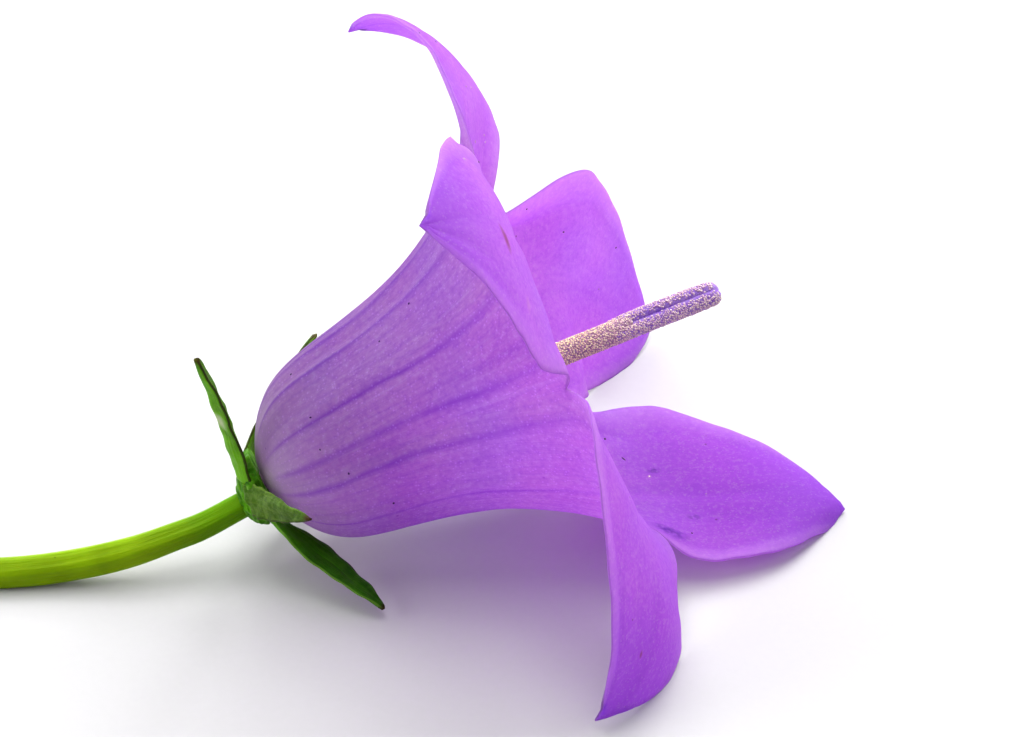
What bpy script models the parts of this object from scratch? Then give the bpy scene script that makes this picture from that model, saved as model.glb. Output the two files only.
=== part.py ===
"""A bellflower bloom on its cut stem, lying on its side.

Metres, +Z up. The bloom is shaped upright about its own axis, mouth up, with the
foot of the bell at the origin. An empty then lays it down along +X, so that local +X
faces the ground and local +Y faces the far side. Bearings are turned about the
bloom's axis, from 0 straight down, and grow towards the far side.
"""

import math
from collections import namedtuple

import bmesh
import bpy
from mathutils import Vector

MM = 0.001

# How the bloom lies: the rise of its axis, and the foot of the bell over the surface
AXIS_RISE = math.radians(22.0)
BELL_FOOT = Vector((1.44, 0.82, 5.30)) * MM
GROUND_SIZE = 200 * MM

# The bell, from its foot to where it starts to roll outwards
BELL_LENGTH = 15.7 * MM
FOOT_RADIUS = 1.35 * MM
WAIST_RADIUS = 5.6 * MM
SHOULDER_HEIGHT = 1.7 * MM
FLARE = 4.1 * MM
PETAL_THICKNESS = 0.6 * MM

# The rolled collar under the lobes, and the free part of each lobe
COLLAR_LENGTH = 3.0 * MM
LOBE_LENGTH = 11.9 * MM
TIP_POINT = 0.4 * MM
LOBE_COUNT = 5
HALF_SECTOR = math.pi / LOBE_COUNT
FIRST_BEARING = math.radians(-4.5)
FULL_HALF_WIDTH = 7.0 * MM

# Outline of a lobe, in shares of its length and width: past the seams it narrows,
# then it swells a little and tapers to a point
NOTCH_LENGTH = 0.12
NOTCH_DEPTH = 0.04
BELLY_LENGTH = 0.75
BELLY_SWELL = 0.08
TAPER_ROUNDNESS = 0.62
POINT_LENGTH = 0.35
POINT_NARROWING = 0.25

# Relief across each fifth of the bell: three veins stand out, and the seams sink in
VEIN_HEIGHT = 0.16 * MM
VEIN_WIDTH = 0.12
SIDE_VEIN_PLACE = 0.55
SIDE_VEIN_WIDTH = 0.14
SIDE_VEIN_SHARE = 0.7
SEAM_DEPTH = 0.22 * MM
SEAM_WIDTH = 0.16
MARGIN_WAVE = 0.07 * MM
MARGIN_WAVES = 13.0

# How far the rim dips back at the seam that each lobe shares with the one before it, how
# wide a dip is across a lobe, and over how much of the lobe it fades out
SEAM_DIPS = [depth * MM for depth in (0.0, 1.6, 1.4, 0.0, 0.8)]
DIP_WIDTH = 0.35
DIP_FADE = 0.3

# How each lobe is shaped. Bend and curl turn it outwards along its length, and hook its tip
# alone; sway turns it round the axis and twist tips it over its midrib; the backs are how
# far its two margins bend back. Breadth and length scale it, lean gives one half more of
# its width, and fullness is how far its width lasts towards the tip.
Lobe = namedtuple("Lobe", "bend reach curl hook sway twist backs breadth length lean fullness")
LOBES = [
    Lobe(-23, 11.0 * MM, -4, 50, -7, -11, (-0.5 * MM, 1.2 * MM), 1.07, 1.02, 0.11, 2.3),
    Lobe(29, 7.6 * MM, -2, 2, -16, -32, (0.3 * MM, 0.6 * MM), 0.96, 1.03, 0.19, 1.9),
    Lobe(19.5, 4.1 * MM, 109, 4, -8, 8, (0.5 * MM, -0.4 * MM), 0.9, 1.05, -0.08, 2.9),
    Lobe(38, 5.9 * MM, 74, 0, 2, 2, (1.3 * MM, 1.3 * MM), 0.99, 1.0, 0.0, 2.4),
    Lobe(51, 6.2 * MM, 82, -5, 13.5, -11, (-0.8 * MM, 2.0 * MM), 1.12, 1.06, -0.06, 2.3),
]

# Where the mesh of a fifth of the bell has its lines, from seam to seam, and its rows
COLUMNS = [-1.0, -0.8, -0.55, -0.3, -0.12, 0.0, 0.12, 0.3, 0.55, 0.8, 1.0]
MIDDLE = len(COLUMNS) // 2
BELL_ROWS = 12
COLLAR_ROWS = 3
LOBE_ROWS = 13
MERIDIAN_STEP = 0.1 * MM

# Ovary under the bell: height and radius, with low ribs. Its lower end leans to the ground
OVARY_PROFILE = [(-2.0, 0.8), (-1.85, 1.05), (-1.65, 1.4), (-1.4, 1.7), (-1.1, 1.85), (-0.75, 1.7)]
OVARY_LEAN = 0.9 * MM
OVARY_RIBS = 10
OVARY_RIB = 0.05
OVARY_SIDES = 40

# Each sepal: bearings at root and tip, mid and tip as radius and height, half width, how
# deep it is folded, and how far it turns over on its way out
Sepal = namedtuple("Sepal", "root_bearing tip_bearing mid tip half_width fold turn")
SEPAL_ROOT = (1.2, -1.3)
SEPAL_NECK = 0.75
SEPAL_THICKNESS = 0.6 * MM
SEPAL_ROWS = 10
SEPAL_COLUMNS = [-1.0, -0.5, 0.0, 0.5, 1.0]
SEPALS = [
    Sepal(-47, -50, (6.7, 1.6), (9.6, 3.05), 1.05, 0.15, 40),
    Sepal(32, 41, (5.0, -0.6), (8.2, 3.5), 1.00, 0.30, 0),
    Sepal(90, 94, (4.9, 0.4), (9.6, 5.25), 0.95, 0.45, 2),
    Sepal(196, 190, (6.9, -0.3), (10.7, 0.1), 1.05, 0.58, 0),
    Sepal(-101, -106, (2.2, -1.15), (9.0, 2.1), 1.00, 0.12, -35),
]

# Stem: its line from the ovary to the cut, measured from the foot of the bell; the
# second stretch lies on the surface and sinks in a little, where the surface flattens it
STEM_RISING = [
    (-1.87, 0.0, -1.87),
    (-3.75, -0.05, -2.6),
    (-5.4, -0.25, -2.95),
    (-8.0, -0.35, -3.55),
    (-11.0, 0.0, -4.15),
    (-14.5, 0.5, -4.48),
]
STEM_LYING = [(-19.0, 1.35), (-25.0, 2.75), (-31.0, 4.5), (-37.0, 6.6)]
STEM_RADIUS = 0.86 * MM
STEM_SWELL = [0.84, 0.9, 1.0, 1.0, 1.0, 1.0]
STEM_SINK = 0.06 * MM
STEM_RIBS = 5
STEM_RIB = 0.06
STEM_SIDES = 15
STEM_RINGS = 30
CUT_SLANT = math.radians(28.0)

# Style: a rod that sags a little, with three closed stigma lobes at its end
STYLE_FOOT = -0.4 * MM
STYLE_LENGTH = 22.6 * MM
STYLE_RADIUS = 0.72 * MM
STYLE_SWELL = [0.8, 1.0, 1.0, 1.0, 1.0, 1.0]
STYLE_SAG = 1.7 * MM
STYLE_SAG_POWER = 1.45
STYLE_RIB = 0.02
STYLE_SIDES = 14
STYLE_RINGS = 13
STIGMA_COUNT = 3
STIGMA_LENGTH = 5.2 * MM
STIGMA_ROOT = 1.2 * MM
STIGMA_RADIUS = 0.46 * MM
STIGMA_SWELL = [0.8, 0.95, 1.0, 1.0, 1.05, 1.08, 1.0, 0.45]
STIGMA_OFFSET = 0.38 * MM
STIGMA_CLOSING = 0.05
STIGMA_TURN = math.radians(30.0)
STIGMA_SIDES = 10
STIGMA_RINGS = 8

# Stamens: five broad feet on a ring round the style, each with a withered anther.
# The line is radius and height, and the radii are those of the stamen along it
RING_RADIUS = 1.55 * MM
RING_HEIGHT = 1.35 * MM
RING_THICKNESS = 0.42 * MM
RING_SEGMENTS = 20
STAMEN_LINE = [(1.55, 1.35), (1.95, 2.3), (1.75, 3.4), (2.15, 4.6), (2.75, 5.5), (2.65, 6.6)]
STAMEN_RADII = [0.62, 0.5, 0.34, 0.32, 0.38, 0.32]
STAMEN_DRIFT = 0.09
STAMEN_SIDES = 8
STAMEN_RINGS = 12

# Colours, linear
SEPAL_GREEN = (0.030, 0.080, 0.008)
PETAL_VIOLET = (0.330, 0.100, 0.700)
STEM_GREEN = (0.210, 0.380, 0.014)
STYLE_MAUVE = (0.350, 0.200, 0.300)
STAMEN_STRAW = (0.620, 0.480, 0.300)


def smooth(share):
    """Ease from 0 to 1 as share goes from 0 to 1."""
    share = min(max(share, 0.0), 1.0)
    return share * share * (3.0 - 2.0 * share)


def bell_radius(height):
    """Radius of the bell at a height over its foot, up to the collar."""
    shoulder = 1.0 - math.exp(-height / SHOULDER_HEIGHT)
    flare = FLARE * (height / BELL_LENGTH) ** 3
    return FOOT_RADIUS + (WAIST_RADIUS - FOOT_RADIUS) * shoulder + flare


def bell_slope(height):
    """Angle between the bell's wall and its axis."""
    shoulder = (WAIST_RADIUS - FOOT_RADIUS) / SHOULDER_HEIGHT * math.exp(-height / SHOULDER_HEIGHT)
    flare = 3.0 * FLARE / BELL_LENGTH * (height / BELL_LENGTH) ** 2
    return math.atan(shoulder + flare)


def lobe_bearing(index):
    return FIRST_BEARING + index * 2.0 * HALF_SECTOR


def lobe_slope(lobe, travel):
    """Angle between a lobe and the axis, a distance past the end of the bell."""
    share = travel / (COLLAR_LENGTH + LOBE_LENGTH)
    turned = lobe.bend * smooth(travel / lobe.reach) + lobe.curl * share ** 2
    turned += lobe.hook * share ** 6
    return bell_slope(BELL_LENGTH) + math.radians(turned)


def shared_slope(bearing, travel):
    """Slope of the collar at a bearing: its two nearest lobes, blended."""
    total = 0.0
    weights = 0.0
    for index, lobe in enumerate(LOBES):
        apart = math.remainder(bearing - lobe_bearing(index), 2.0 * math.pi)
        if abs(apart) < 2.0 * HALF_SECTOR:
            weight = math.cos(apart / (2.0 * HALF_SECTOR) * math.pi / 2.0) ** 2
            total += weight * lobe_slope(lobe, travel)
            weights += weight
    return total / weights


def meridian(bearing, lobe):
    """(height, radius, slope) at each step past the bell, along one line of a lobe."""
    steps = round((COLLAR_LENGTH + LOBE_LENGTH * lobe.length + TIP_POINT) / MERIDIAN_STEP)
    height = BELL_LENGTH
    radius = bell_radius(BELL_LENGTH)
    line = []
    for step in range(steps + 1):
        travel = step * MERIDIAN_STEP
        own = smooth((travel - COLLAR_LENGTH) / (0.35 * LOBE_LENGTH))
        slope = shared_slope(bearing, travel) * (1.0 - own) + lobe_slope(lobe, travel) * own
        line.append((height, radius, slope))
        height += MERIDIAN_STEP * math.cos(slope)
        radius += MERIDIAN_STEP * math.sin(slope)
    return line


def lobe_half_width(share, fullness):
    """Half the lobe's width at a share of its free length, against its width at the seams."""
    notch = 1.0 - NOTCH_DEPTH * smooth(share / NOTCH_LENGTH)
    belly = 1.0 + BELLY_SWELL * math.sin(math.pi * min(share / BELLY_LENGTH, 1.0)) ** 2
    taper = max(1.0 - share ** fullness, 0.0) ** TAPER_ROUNDNESS
    point = 1.0 - POINT_NARROWING * smooth((share - 1.0 + POINT_LENGTH) / POINT_LENGTH)
    return notch * belly * taper * point


def relief(across, strength):
    """How far a vein stands out or a seam sinks in, across one fifth of the bell."""
    middle = math.exp(-(across / VEIN_WIDTH) ** 2)
    sides = SIDE_VEIN_SHARE * math.exp(-((abs(across) - SIDE_VEIN_PLACE) / SIDE_VEIN_WIDTH) ** 2)
    seam = math.exp(-((abs(across) - 1.0) / SEAM_WIDTH) ** 2)
    return strength * (VEIN_HEIGHT * (middle + sides) - SEAM_DEPTH * seam)


def petal_point(bearing, height, radius, slope, lift):
    """A point of the petal wall, lifted off it along its outward normal."""
    outward = radius + math.cos(slope) * lift
    return Vector((
        outward * math.cos(bearing),
        outward * math.sin(bearing),
        height - math.sin(slope) * lift,
    ))


def seam_dip(index, across, travel, share):
    """How far a point of the rim or of a lobe's first stretch is drawn back at a seam."""
    depth = SEAM_DIPS[(index + (across > 0.0)) % LOBE_COUNT]
    near_seam = 1.0 - smooth((1.0 - abs(across)) / DIP_WIDTH)
    return depth * near_seam * smooth(travel / COLLAR_LENGTH) * (1.0 - smooth(share / DIP_FADE))


def lobe_row(index, lines, travel):
    """One row of points across a lobe, from seam to seam."""
    lobe = LOBES[index]
    share = max((travel - COLLAR_LENGTH) / (LOBE_LENGTH * lobe.length), 0.0)
    seam_radius = lines[MIDDLE][round(COLLAR_LENGTH / MERIDIAN_STEP)][1]
    half_width = HALF_SECTOR * seam_radius * lobe_half_width(share, lobe.fullness)
    half_width *= 1.0 + (lobe.breadth - 1.0) * smooth(share / 0.2)
    row = []
    for across, line in zip(COLUMNS, lines):
        full_radius = line[round(travel / MERIDIAN_STEP)][1]
        step = round((travel - seam_dip(index, across, travel, share)) / MERIDIAN_STEP)
        height, radius, slope = line[step]
        offset = half_width * across * (1.0 + across * lobe.lean * smooth(share / 0.4))
        spread = HALF_SECTOR * across if share == 0.0 else offset / full_radius
        bearing = lobe_bearing(index) + spread + math.radians(lobe.sway) * smooth(share)
        back = lobe.backs[across > 0.0] * (offset / FULL_HALF_WIDTH) ** 2
        tip_over = math.tan(math.radians(lobe.twist)) * offset
        wave = MARGIN_WAVE * abs(across) ** 3 * math.sin(MARGIN_WAVES * share + 2.0 * index + across)
        lift = smooth(share / 0.4) * (back + tip_over + wave)
        lift += relief(across, 1.0 - smooth(share))
        row.append(petal_point(bearing, height, radius, slope, lift))
    return row


def bell_row(height):
    """One ring of points round the bell, seam columns shared."""
    row = []
    strength = smooth(height / (0.25 * BELL_LENGTH))
    for index in range(LOBE_COUNT):
        for across in COLUMNS[:-1]:
            bearing = lobe_bearing(index) + HALF_SECTOR * across
            lift = relief(across, strength)
            row.append(petal_point(bearing, height, bell_radius(height), bell_slope(height), lift))
    return row


def add_band(mesh, lower, upper, closed):
    """Two triangles between each pair of neighbours in two rows, mirrored at each midrib."""
    count = len(lower)
    last = count if closed else count - 1
    for near in range(last):
        far = (near + 1) % count
        if near % (len(COLUMNS) - 1) < MIDDLE:
            corners = ((lower[near], lower[far], upper[far]), (lower[near], upper[far], upper[near]))
        else:
            corners = ((lower[near], lower[far], upper[near]), (lower[far], upper[far], upper[near]))
        for corner in corners:
            mesh.faces.new(corner)


def add_lobe(mesh, index, lines, rim):
    """The free part of one lobe, from its share of the collar's rim to its tip."""
    length = LOBE_LENGTH * LOBES[index].length
    lower = rim
    for row in range(1, LOBE_ROWS):
        even = row / LOBE_ROWS
        eased = 0.5 - 0.5 * math.cos(math.pi * even)
        travel = COLLAR_LENGTH + length * (0.45 * even + 0.55 * eased)
        upper = [mesh.verts.new(point) for point in lobe_row(index, lines, travel)]
        add_band(mesh, lower, upper, closed=False)
        lower = upper
    tip = mesh.verts.new(lobe_row(index, lines, COLLAR_LENGTH + length + TIP_POINT)[MIDDLE])
    for near, far in zip(lower, lower[1:]):
        mesh.faces.new((near, far, tip))


def petal_surface():
    """The middle surface of the whole corolla: bell, collar and five lobes."""
    mesh = bmesh.new()
    rings = []
    for row in range(BELL_ROWS):
        height = BELL_LENGTH * (row / BELL_ROWS) ** 1.6
        rings.append([mesh.verts.new(point) for point in bell_row(height)])

    lines = []
    for index, lobe in enumerate(LOBES):
        bearings = [lobe_bearing(index) + HALF_SECTOR * across for across in COLUMNS]
        lines.append([meridian(bearing, lobe) for bearing in bearings])
    for row in range(COLLAR_ROWS + 1):
        travel = COLLAR_LENGTH * row / COLLAR_ROWS
        ring = []
        for index in range(LOBE_COUNT):
            ring += lobe_row(index, lines[index], travel)[:-1]
        rings.append([mesh.verts.new(point) for point in ring])
    for lower, upper in zip(rings, rings[1:]):
        add_band(mesh, lower, upper, closed=True)

    step = len(COLUMNS) - 1
    for index in range(LOBE_COUNT):
        start = index * step
        rim = [rings[-1][(start + column) % (LOBE_COUNT * step)] for column in range(step + 1)]
        add_lobe(mesh, index, lines[index], rim)
    return mesh


def smooth_line(points, count):
    """Points spread evenly along a smooth curve through the given ones."""
    padded = [2.0 * points[0] - points[1]] + points + [2.0 * points[-1] - points[-2]]
    line = []
    for place in range(count):
        along = place / (count - 1) * (len(points) - 1)
        piece = min(int(along), len(points) - 2)
        share = along - piece
        before, start, end, after = padded[piece:piece + 4]
        line.append(0.5 * (
            2.0 * start
            + (end - before) * share
            + (2.0 * before - 5.0 * start + 4.0 * end - after) * share ** 2
            + (3.0 * start - before - 3.0 * end + after) * share ** 3
        ))
    return line


def grown_body(path, radius, sides, facing=None):
    """A closed body round a path; radius(share, angle) gives its ribbed section.

    Each section is square to the path, or square to facing where that is given.
    """
    mesh = bmesh.new()
    rings = []
    side = (path[1] - path[0]).orthogonal().normalized()
    for place, centre in enumerate(path):
        ahead = path[min(place + 1, len(path) - 1)]
        behind = path[max(place - 1, 0)]
        tangent = (ahead - behind).normalized() if facing is None else facing
        side = (side - tangent * side.dot(tangent)).normalized()
        other = tangent.cross(side)
        ring = []
        for step in range(sides):
            angle = 2.0 * math.pi * step / sides
            reach = radius(place / (len(path) - 1), angle)
            offset = (side * math.cos(angle) + other * math.sin(angle)) * reach
            ring.append(mesh.verts.new(centre + offset))
        rings.append(ring)
    for lower, upper in zip(rings, rings[1:]):
        for near in range(sides):
            far = (near + 1) % sides
            mesh.faces.new((lower[near], lower[far], upper[far], upper[near]))
    mesh.faces.new(list(reversed(rings[0])))
    mesh.faces.new(rings[-1])
    return mesh


def swelling(size, shares):
    """A function that reads the size times a list of shares, as one smooth run from 0 to 1."""
    def read(share):
        along = share * (len(shares) - 1)
        piece = min(int(along), len(shares) - 2)
        return size * (shares[piece] + (shares[piece + 1] - shares[piece]) * smooth(along - piece))
    return read


def ribbed(size, ribs=0, rib=0.0):
    """A section radius with evenly spaced rounded ribs, or a plain round one."""
    def read(share, angle):
        return size(share) * (1.0 + rib * math.cos(ribs * angle))
    return read


def material(name, colour, roughness):
    """A plain plant surface in one colour."""
    surface = bpy.data.materials.new(name)
    surface.use_nodes = True
    shader = surface.node_tree.nodes["Principled BSDF"]
    shader.inputs["Base Color"].default_value = (*colour, 1.0)
    shader.inputs["Roughness"].default_value = roughness
    shader.inputs["Metallic"].default_value = 0.0
    surface.diffuse_color = (*colour, 1.0)
    return surface


def add_object(name, mesh, collection, parent=None, surface=None):
    """Turn a bmesh into a named object."""
    data = bpy.data.meshes.new(name)
    mesh.to_mesh(data)
    mesh.free()
    if surface:
        data.materials.append(surface)
    thing = bpy.data.objects.new(name, data)
    thing.parent = parent
    collection.objects.link(thing)
    return thing


def add_thickness(thing, thickness):
    """Give a blade the same thickness all over, half on each side."""
    solid = thing.modifiers.new("thickness", "SOLIDIFY")
    solid.thickness = thickness
    solid.offset = 0.0


def cut_by(thing, cutter):
    """Take away what lies inside the cutter."""
    boolean = thing.modifiers.new("cut", "BOOLEAN")
    boolean.operation = "DIFFERENCE"
    boolean.object = cutter


def fuse(thing, pieces):
    """Join a collection of pieces to a body for good, and remove the pieces."""
    boolean = thing.modifiers.new("join", "BOOLEAN")
    boolean.operation = "UNION"
    boolean.operand_type = "COLLECTION"
    boolean.collection = pieces
    bpy.context.view_layer.update()
    evaluated = thing.evaluated_get(bpy.context.evaluated_depsgraph_get())
    joined = bpy.data.meshes.new_from_object(evaluated)
    thing.modifiers.clear()
    thing.data = joined
    for piece in list(pieces.objects):
        bpy.data.objects.remove(piece)


def ovary_body():
    """The swollen green foot of the bloom, ribbed lengthwise."""
    path = []
    for height, _ in OVARY_PROFILE:
        share = (height - OVARY_PROFILE[0][0]) / (OVARY_PROFILE[-1][0] - OVARY_PROFILE[0][0])
        path.append(Vector((OVARY_LEAN * (1.0 - smooth(share)), 0.0, height * MM)))
    size = swelling(MM, [radius for _, radius in OVARY_PROFILE])
    section = ribbed(size, OVARY_RIBS, OVARY_RIB)
    return grown_body(path, section, OVARY_SIDES, facing=Vector((0.0, 0.0, 1.0)))


def sepal_surface(sepal):
    """One narrow pointed sepal, folded along its midrib."""
    mesh = bmesh.new()
    root, mid, tip = [
        Vector((radius, 0.0, height)) * MM for radius, height in (SEPAL_ROOT, sepal.mid, sepal.tip)
    ]
    rows = []
    for row in range(SEPAL_ROWS - 1):
        share = row / (SEPAL_ROWS - 1)
        place = root * (1.0 - share) ** 2 + mid * 2.0 * share * (1.0 - share) + tip * share ** 2
        heading = ((mid - root) * (1.0 - share) + (tip - mid) * share).normalized()
        turned = sepal.root_bearing + (sepal.tip_bearing - sepal.root_bearing) * smooth(share)
        outward = Vector((math.cos(math.radians(turned)), math.sin(math.radians(turned)), 0.0))
        sideways = Vector((-outward.y, outward.x, 0.0))
        centre = outward * place.x + Vector((0.0, 0.0, place.z))
        inward = Vector((0.0, 0.0, heading.x)) - outward * heading.z
        turn = math.radians(sepal.turn) * smooth(share / 0.4)
        broad = sideways * math.cos(turn) + inward * math.sin(turn)
        deep = inward * math.cos(turn) - sideways * math.sin(turn)
        width = sepal.half_width * MM * (1.0 - share) ** 0.7 * (1.0 + 0.9 * share)
        width *= SEPAL_NECK + (1.0 - SEPAL_NECK) * smooth(share / 0.25)
        points = []
        for across in SEPAL_COLUMNS:
            fold = sepal.fold * abs(across) * width
            points.append(mesh.verts.new(centre + broad * across * width + deep * fold))
        rows.append(points)
    for lower, upper in zip(rows, rows[1:]):
        for near in range(len(SEPAL_COLUMNS) - 1):
            mesh.faces.new((lower[near], lower[near + 1], upper[near + 1]))
            mesh.faces.new((lower[near], upper[near + 1], upper[near]))
    bearing = math.radians(sepal.tip_bearing)
    end = mesh.verts.new((tip.x * math.cos(bearing), tip.x * math.sin(bearing), tip.z))
    for near, far in zip(rows[-1], rows[-1][1:]):
        mesh.faces.new((near, far, end))
    return mesh


def make_calyx(parts, spare, lying, ground):
    """The ovary with its five sepals, grown as one piece."""
    green = material("sepal_green", SEPAL_GREEN, 0.55)
    calyx = add_object("calyx", ovary_body(), parts, lying, green)
    for number, sepal in enumerate(SEPALS):
        blade = add_object(f"sepal_{number}", sepal_surface(sepal), spare, lying, green)
        add_thickness(blade, SEPAL_THICKNESS)
    fuse(calyx, spare)
    cut_by(calyx, ground)
    return calyx


def make_corolla(parts, lying, ground):
    """The bell with its five lobes, grown as one piece."""
    violet = material("petal_violet", PETAL_VIOLET, 0.50)
    corolla = add_object("corolla", petal_surface(), parts, lying, violet)
    add_thickness(corolla, PETAL_THICKNESS)
    cut_by(corolla, ground)
    return corolla


def make_stem(parts, foot, ground):
    """The ribbed flower stalk, down from the ovary and along the surface to its cut."""
    lying_height = STEM_RADIUS - STEM_SINK - BELL_FOOT.z
    points = [Vector(point) * MM for point in STEM_RISING]
    points += [Vector((x * MM, y * MM, lying_height)) for x, y in STEM_LYING]
    section = ribbed(swelling(STEM_RADIUS, STEM_SWELL), STEM_RIBS, STEM_RIB)
    body = grown_body(smooth_line(points, STEM_RINGS), section, STEM_SIDES)

    heading = (points[-1] - points[-2]).normalized()
    slanted = Vector((
        heading.x * math.cos(CUT_SLANT) - heading.y * math.sin(CUT_SLANT),
        heading.x * math.sin(CUT_SLANT) + heading.y * math.cos(CUT_SLANT),
        0.0,
    ))
    everything = body.verts[:] + body.edges[:] + body.faces[:]
    place = points[-1] - heading * 1.2 * STEM_RADIUS
    cut = bmesh.ops.bisect_plane(body, geom=everything, plane_co=place, plane_no=slanted, clear_outer=True)
    rim = [edge for edge in cut["geom_cut"] if isinstance(edge, bmesh.types.BMEdge)]
    bmesh.ops.holes_fill(body, edges=rim)

    green = material("stem_green", STEM_GREEN, 0.50)
    stem = add_object("pedicel", body, parts, foot, green)
    cut_by(stem, ground)
    return stem


def style_point(height, across=0.0, angle=0.0):
    """A point beside the style's sagging centre line."""
    share = (height - STYLE_FOOT) / (STYLE_LENGTH + STIGMA_LENGTH)
    sag = STYLE_SAG * share ** STYLE_SAG_POWER
    return Vector((sag + across * math.cos(angle), across * math.sin(angle), height))


def stigma_body(angle):
    """One stigma lobe, rooted in the end of the style and closing on its neighbours."""
    length = STIGMA_ROOT + STIGMA_LENGTH
    path = []
    for step in range(STIGMA_RINGS):
        share = step / (STIGMA_RINGS - 1)
        height = STYLE_FOOT + STYLE_LENGTH - STIGMA_ROOT + length * share
        path.append(style_point(height, STIGMA_OFFSET * (1.0 - STIGMA_CLOSING * share ** 2), angle))
    return grown_body(path, ribbed(swelling(STIGMA_RADIUS, STIGMA_SWELL)), STIGMA_SIDES)


def make_style(parts, spare, lying):
    """The thick style with its closed stigma lobes side by side at the end."""
    mauve = material("style_mauve", STYLE_MAUVE, 0.85)
    heights = [STYLE_FOOT + STYLE_LENGTH * step / (STYLE_RINGS - 1) for step in range(STYLE_RINGS)]
    section = ribbed(swelling(STYLE_RADIUS, STYLE_SWELL), STIGMA_COUNT, STYLE_RIB)
    rod = grown_body([style_point(height) for height in heights], section, STYLE_SIDES)
    style = add_object("style", rod, parts, lying, mauve)
    for number in range(STIGMA_COUNT):
        angle = 2.0 * math.pi * number / STIGMA_COUNT + STIGMA_TURN
        add_object(f"stigma_{number}", stigma_body(angle), spare, lying, mauve)
    fuse(style, spare)
    return style


def stamen_body(number):
    """One stamen: a broad foot, a thread and a withered anther, drifting to one side."""
    bearing = lobe_bearing(number) + HALF_SECTOR
    points = []
    for step, (radius, height) in enumerate(STAMEN_LINE):
        turned = bearing + STAMEN_DRIFT * step * math.sin(2.0 * number + 1.0)
        points.append(Vector((radius * math.cos(turned), radius * math.sin(turned), height)) * MM)
    section = ribbed(swelling(MM, STAMEN_RADII))
    return grown_body(smooth_line(points, STAMEN_RINGS), section, STAMEN_SIDES)


def make_stamens(parts, spare, lying):
    """Five withered stamens on broad feet, grown together in a ring round the style."""
    straw = material("stamen_straw", STAMEN_STRAW, 0.80)
    bpy.ops.mesh.primitive_torus_add(
        major_radius=RING_RADIUS,
        minor_radius=RING_THICKNESS,
        major_segments=RING_SEGMENTS,
        minor_segments=STAMEN_SIDES,
        location=(0.0, 0.0, RING_HEIGHT),
    )
    stamens = bpy.context.object
    stamens.name = "stamens"
    stamens.data.materials.append(straw)
    for home in list(stamens.users_collection):
        home.objects.unlink(stamens)
    parts.objects.link(stamens)
    stamens.parent = lying
    for number in range(LOBE_COUNT):
        add_object(f"stamen_{number}", stamen_body(number), spare, lying, straw)
    fuse(stamens, spare)
    return stamens


def make_ground(cutters):
    """The surface that the bloom lies on, which flattens what touches it."""
    mesh = bmesh.new()
    bmesh.ops.create_cube(mesh, size=GROUND_SIZE)
    ground = add_object("surface_below", mesh, cutters)
    ground.location.z = -GROUND_SIZE / 2.0
    ground.hide_render = True
    ground.display_type = "WIRE"
    return ground


def new_collection(name):
    collection = bpy.data.collections.new(name)
    bpy.context.scene.collection.children.link(collection)
    return collection


def shade(thing):
    thing.data.shade_smooth()
    thing.data.set_sharp_from_angle(angle=math.radians(40.0))


def main():
    for thing in list(bpy.data.objects):
        bpy.data.objects.remove(thing)
    parts = new_collection("campanula_flower_stem")
    cutters = new_collection("cutters")
    spare = new_collection("pieces_to_fuse")

    foot = bpy.data.objects.new("bell_foot", None)
    foot.location = BELL_FOOT
    parts.objects.link(foot)
    lying = bpy.data.objects.new("bloom_axis", None)
    lying.parent = foot
    lying.rotation_euler.y = math.pi / 2.0 - AXIS_RISE
    parts.objects.link(lying)
    ground = make_ground(cutters)

    shade(make_stem(parts, foot, ground))
    shade(make_calyx(parts, spare, lying, ground))
    shade(make_corolla(parts, lying, ground))
    shade(make_style(parts, spare, lying))
    shade(make_stamens(parts, spare, lying))
    bpy.data.collections.remove(spare)


main()
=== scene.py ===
"""The looks of a bellflower bloom that lies on its side on white paper.

The bloom is shaped upright about its own axis in millimetres, mouth up, with the foot
of the bell at the origin. LYING then lays it down, so that local +X faces the ground and
local +Y the far side. Bearings turn about the bloom's axis, from 0 straight down, and grow
towards the far side.
"""

import functools
import math
from collections import namedtuple

import bmesh
import bpy
from mathutils import Matrix, Vector, noise


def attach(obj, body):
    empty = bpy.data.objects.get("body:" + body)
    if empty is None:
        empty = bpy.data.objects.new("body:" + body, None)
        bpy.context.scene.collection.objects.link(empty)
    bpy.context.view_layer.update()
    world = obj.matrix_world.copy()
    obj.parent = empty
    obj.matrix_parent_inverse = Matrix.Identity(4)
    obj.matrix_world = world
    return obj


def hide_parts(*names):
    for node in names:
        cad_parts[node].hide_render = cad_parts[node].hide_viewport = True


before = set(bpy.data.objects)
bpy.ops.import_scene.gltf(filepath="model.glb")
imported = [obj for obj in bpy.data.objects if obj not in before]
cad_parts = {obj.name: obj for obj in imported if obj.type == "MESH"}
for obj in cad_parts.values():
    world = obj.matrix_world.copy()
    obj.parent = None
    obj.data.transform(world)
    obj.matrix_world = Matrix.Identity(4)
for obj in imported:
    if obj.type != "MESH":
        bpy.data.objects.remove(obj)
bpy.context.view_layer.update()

BODY = "root"
MM = 0.001

# How the bloom lies: the rise of its axis, and the foot of the bell over the surface
AXIS_RISE = math.radians(22.0)
BELL_FOOT = Vector((1.44, 0.82, 5.30))
UPRIGHT = Matrix.Scale(MM, 4) @ Matrix.Translation(BELL_FOOT)
LYING = UPRIGHT @ Matrix.Rotation(math.pi / 2 - AXIS_RISE, 4, "Y")
STANDING = LYING.inverted()

# The bell, from its foot to where it starts to roll outwards
BELL_LENGTH = 15.7
FOOT_RADIUS = 1.35
WAIST_RADIUS = 5.6
SHOULDER_HEIGHT = 1.7
FLARE = 4.1
PETAL_WALL = 0.26
MARGIN_WALL = 0.35

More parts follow.
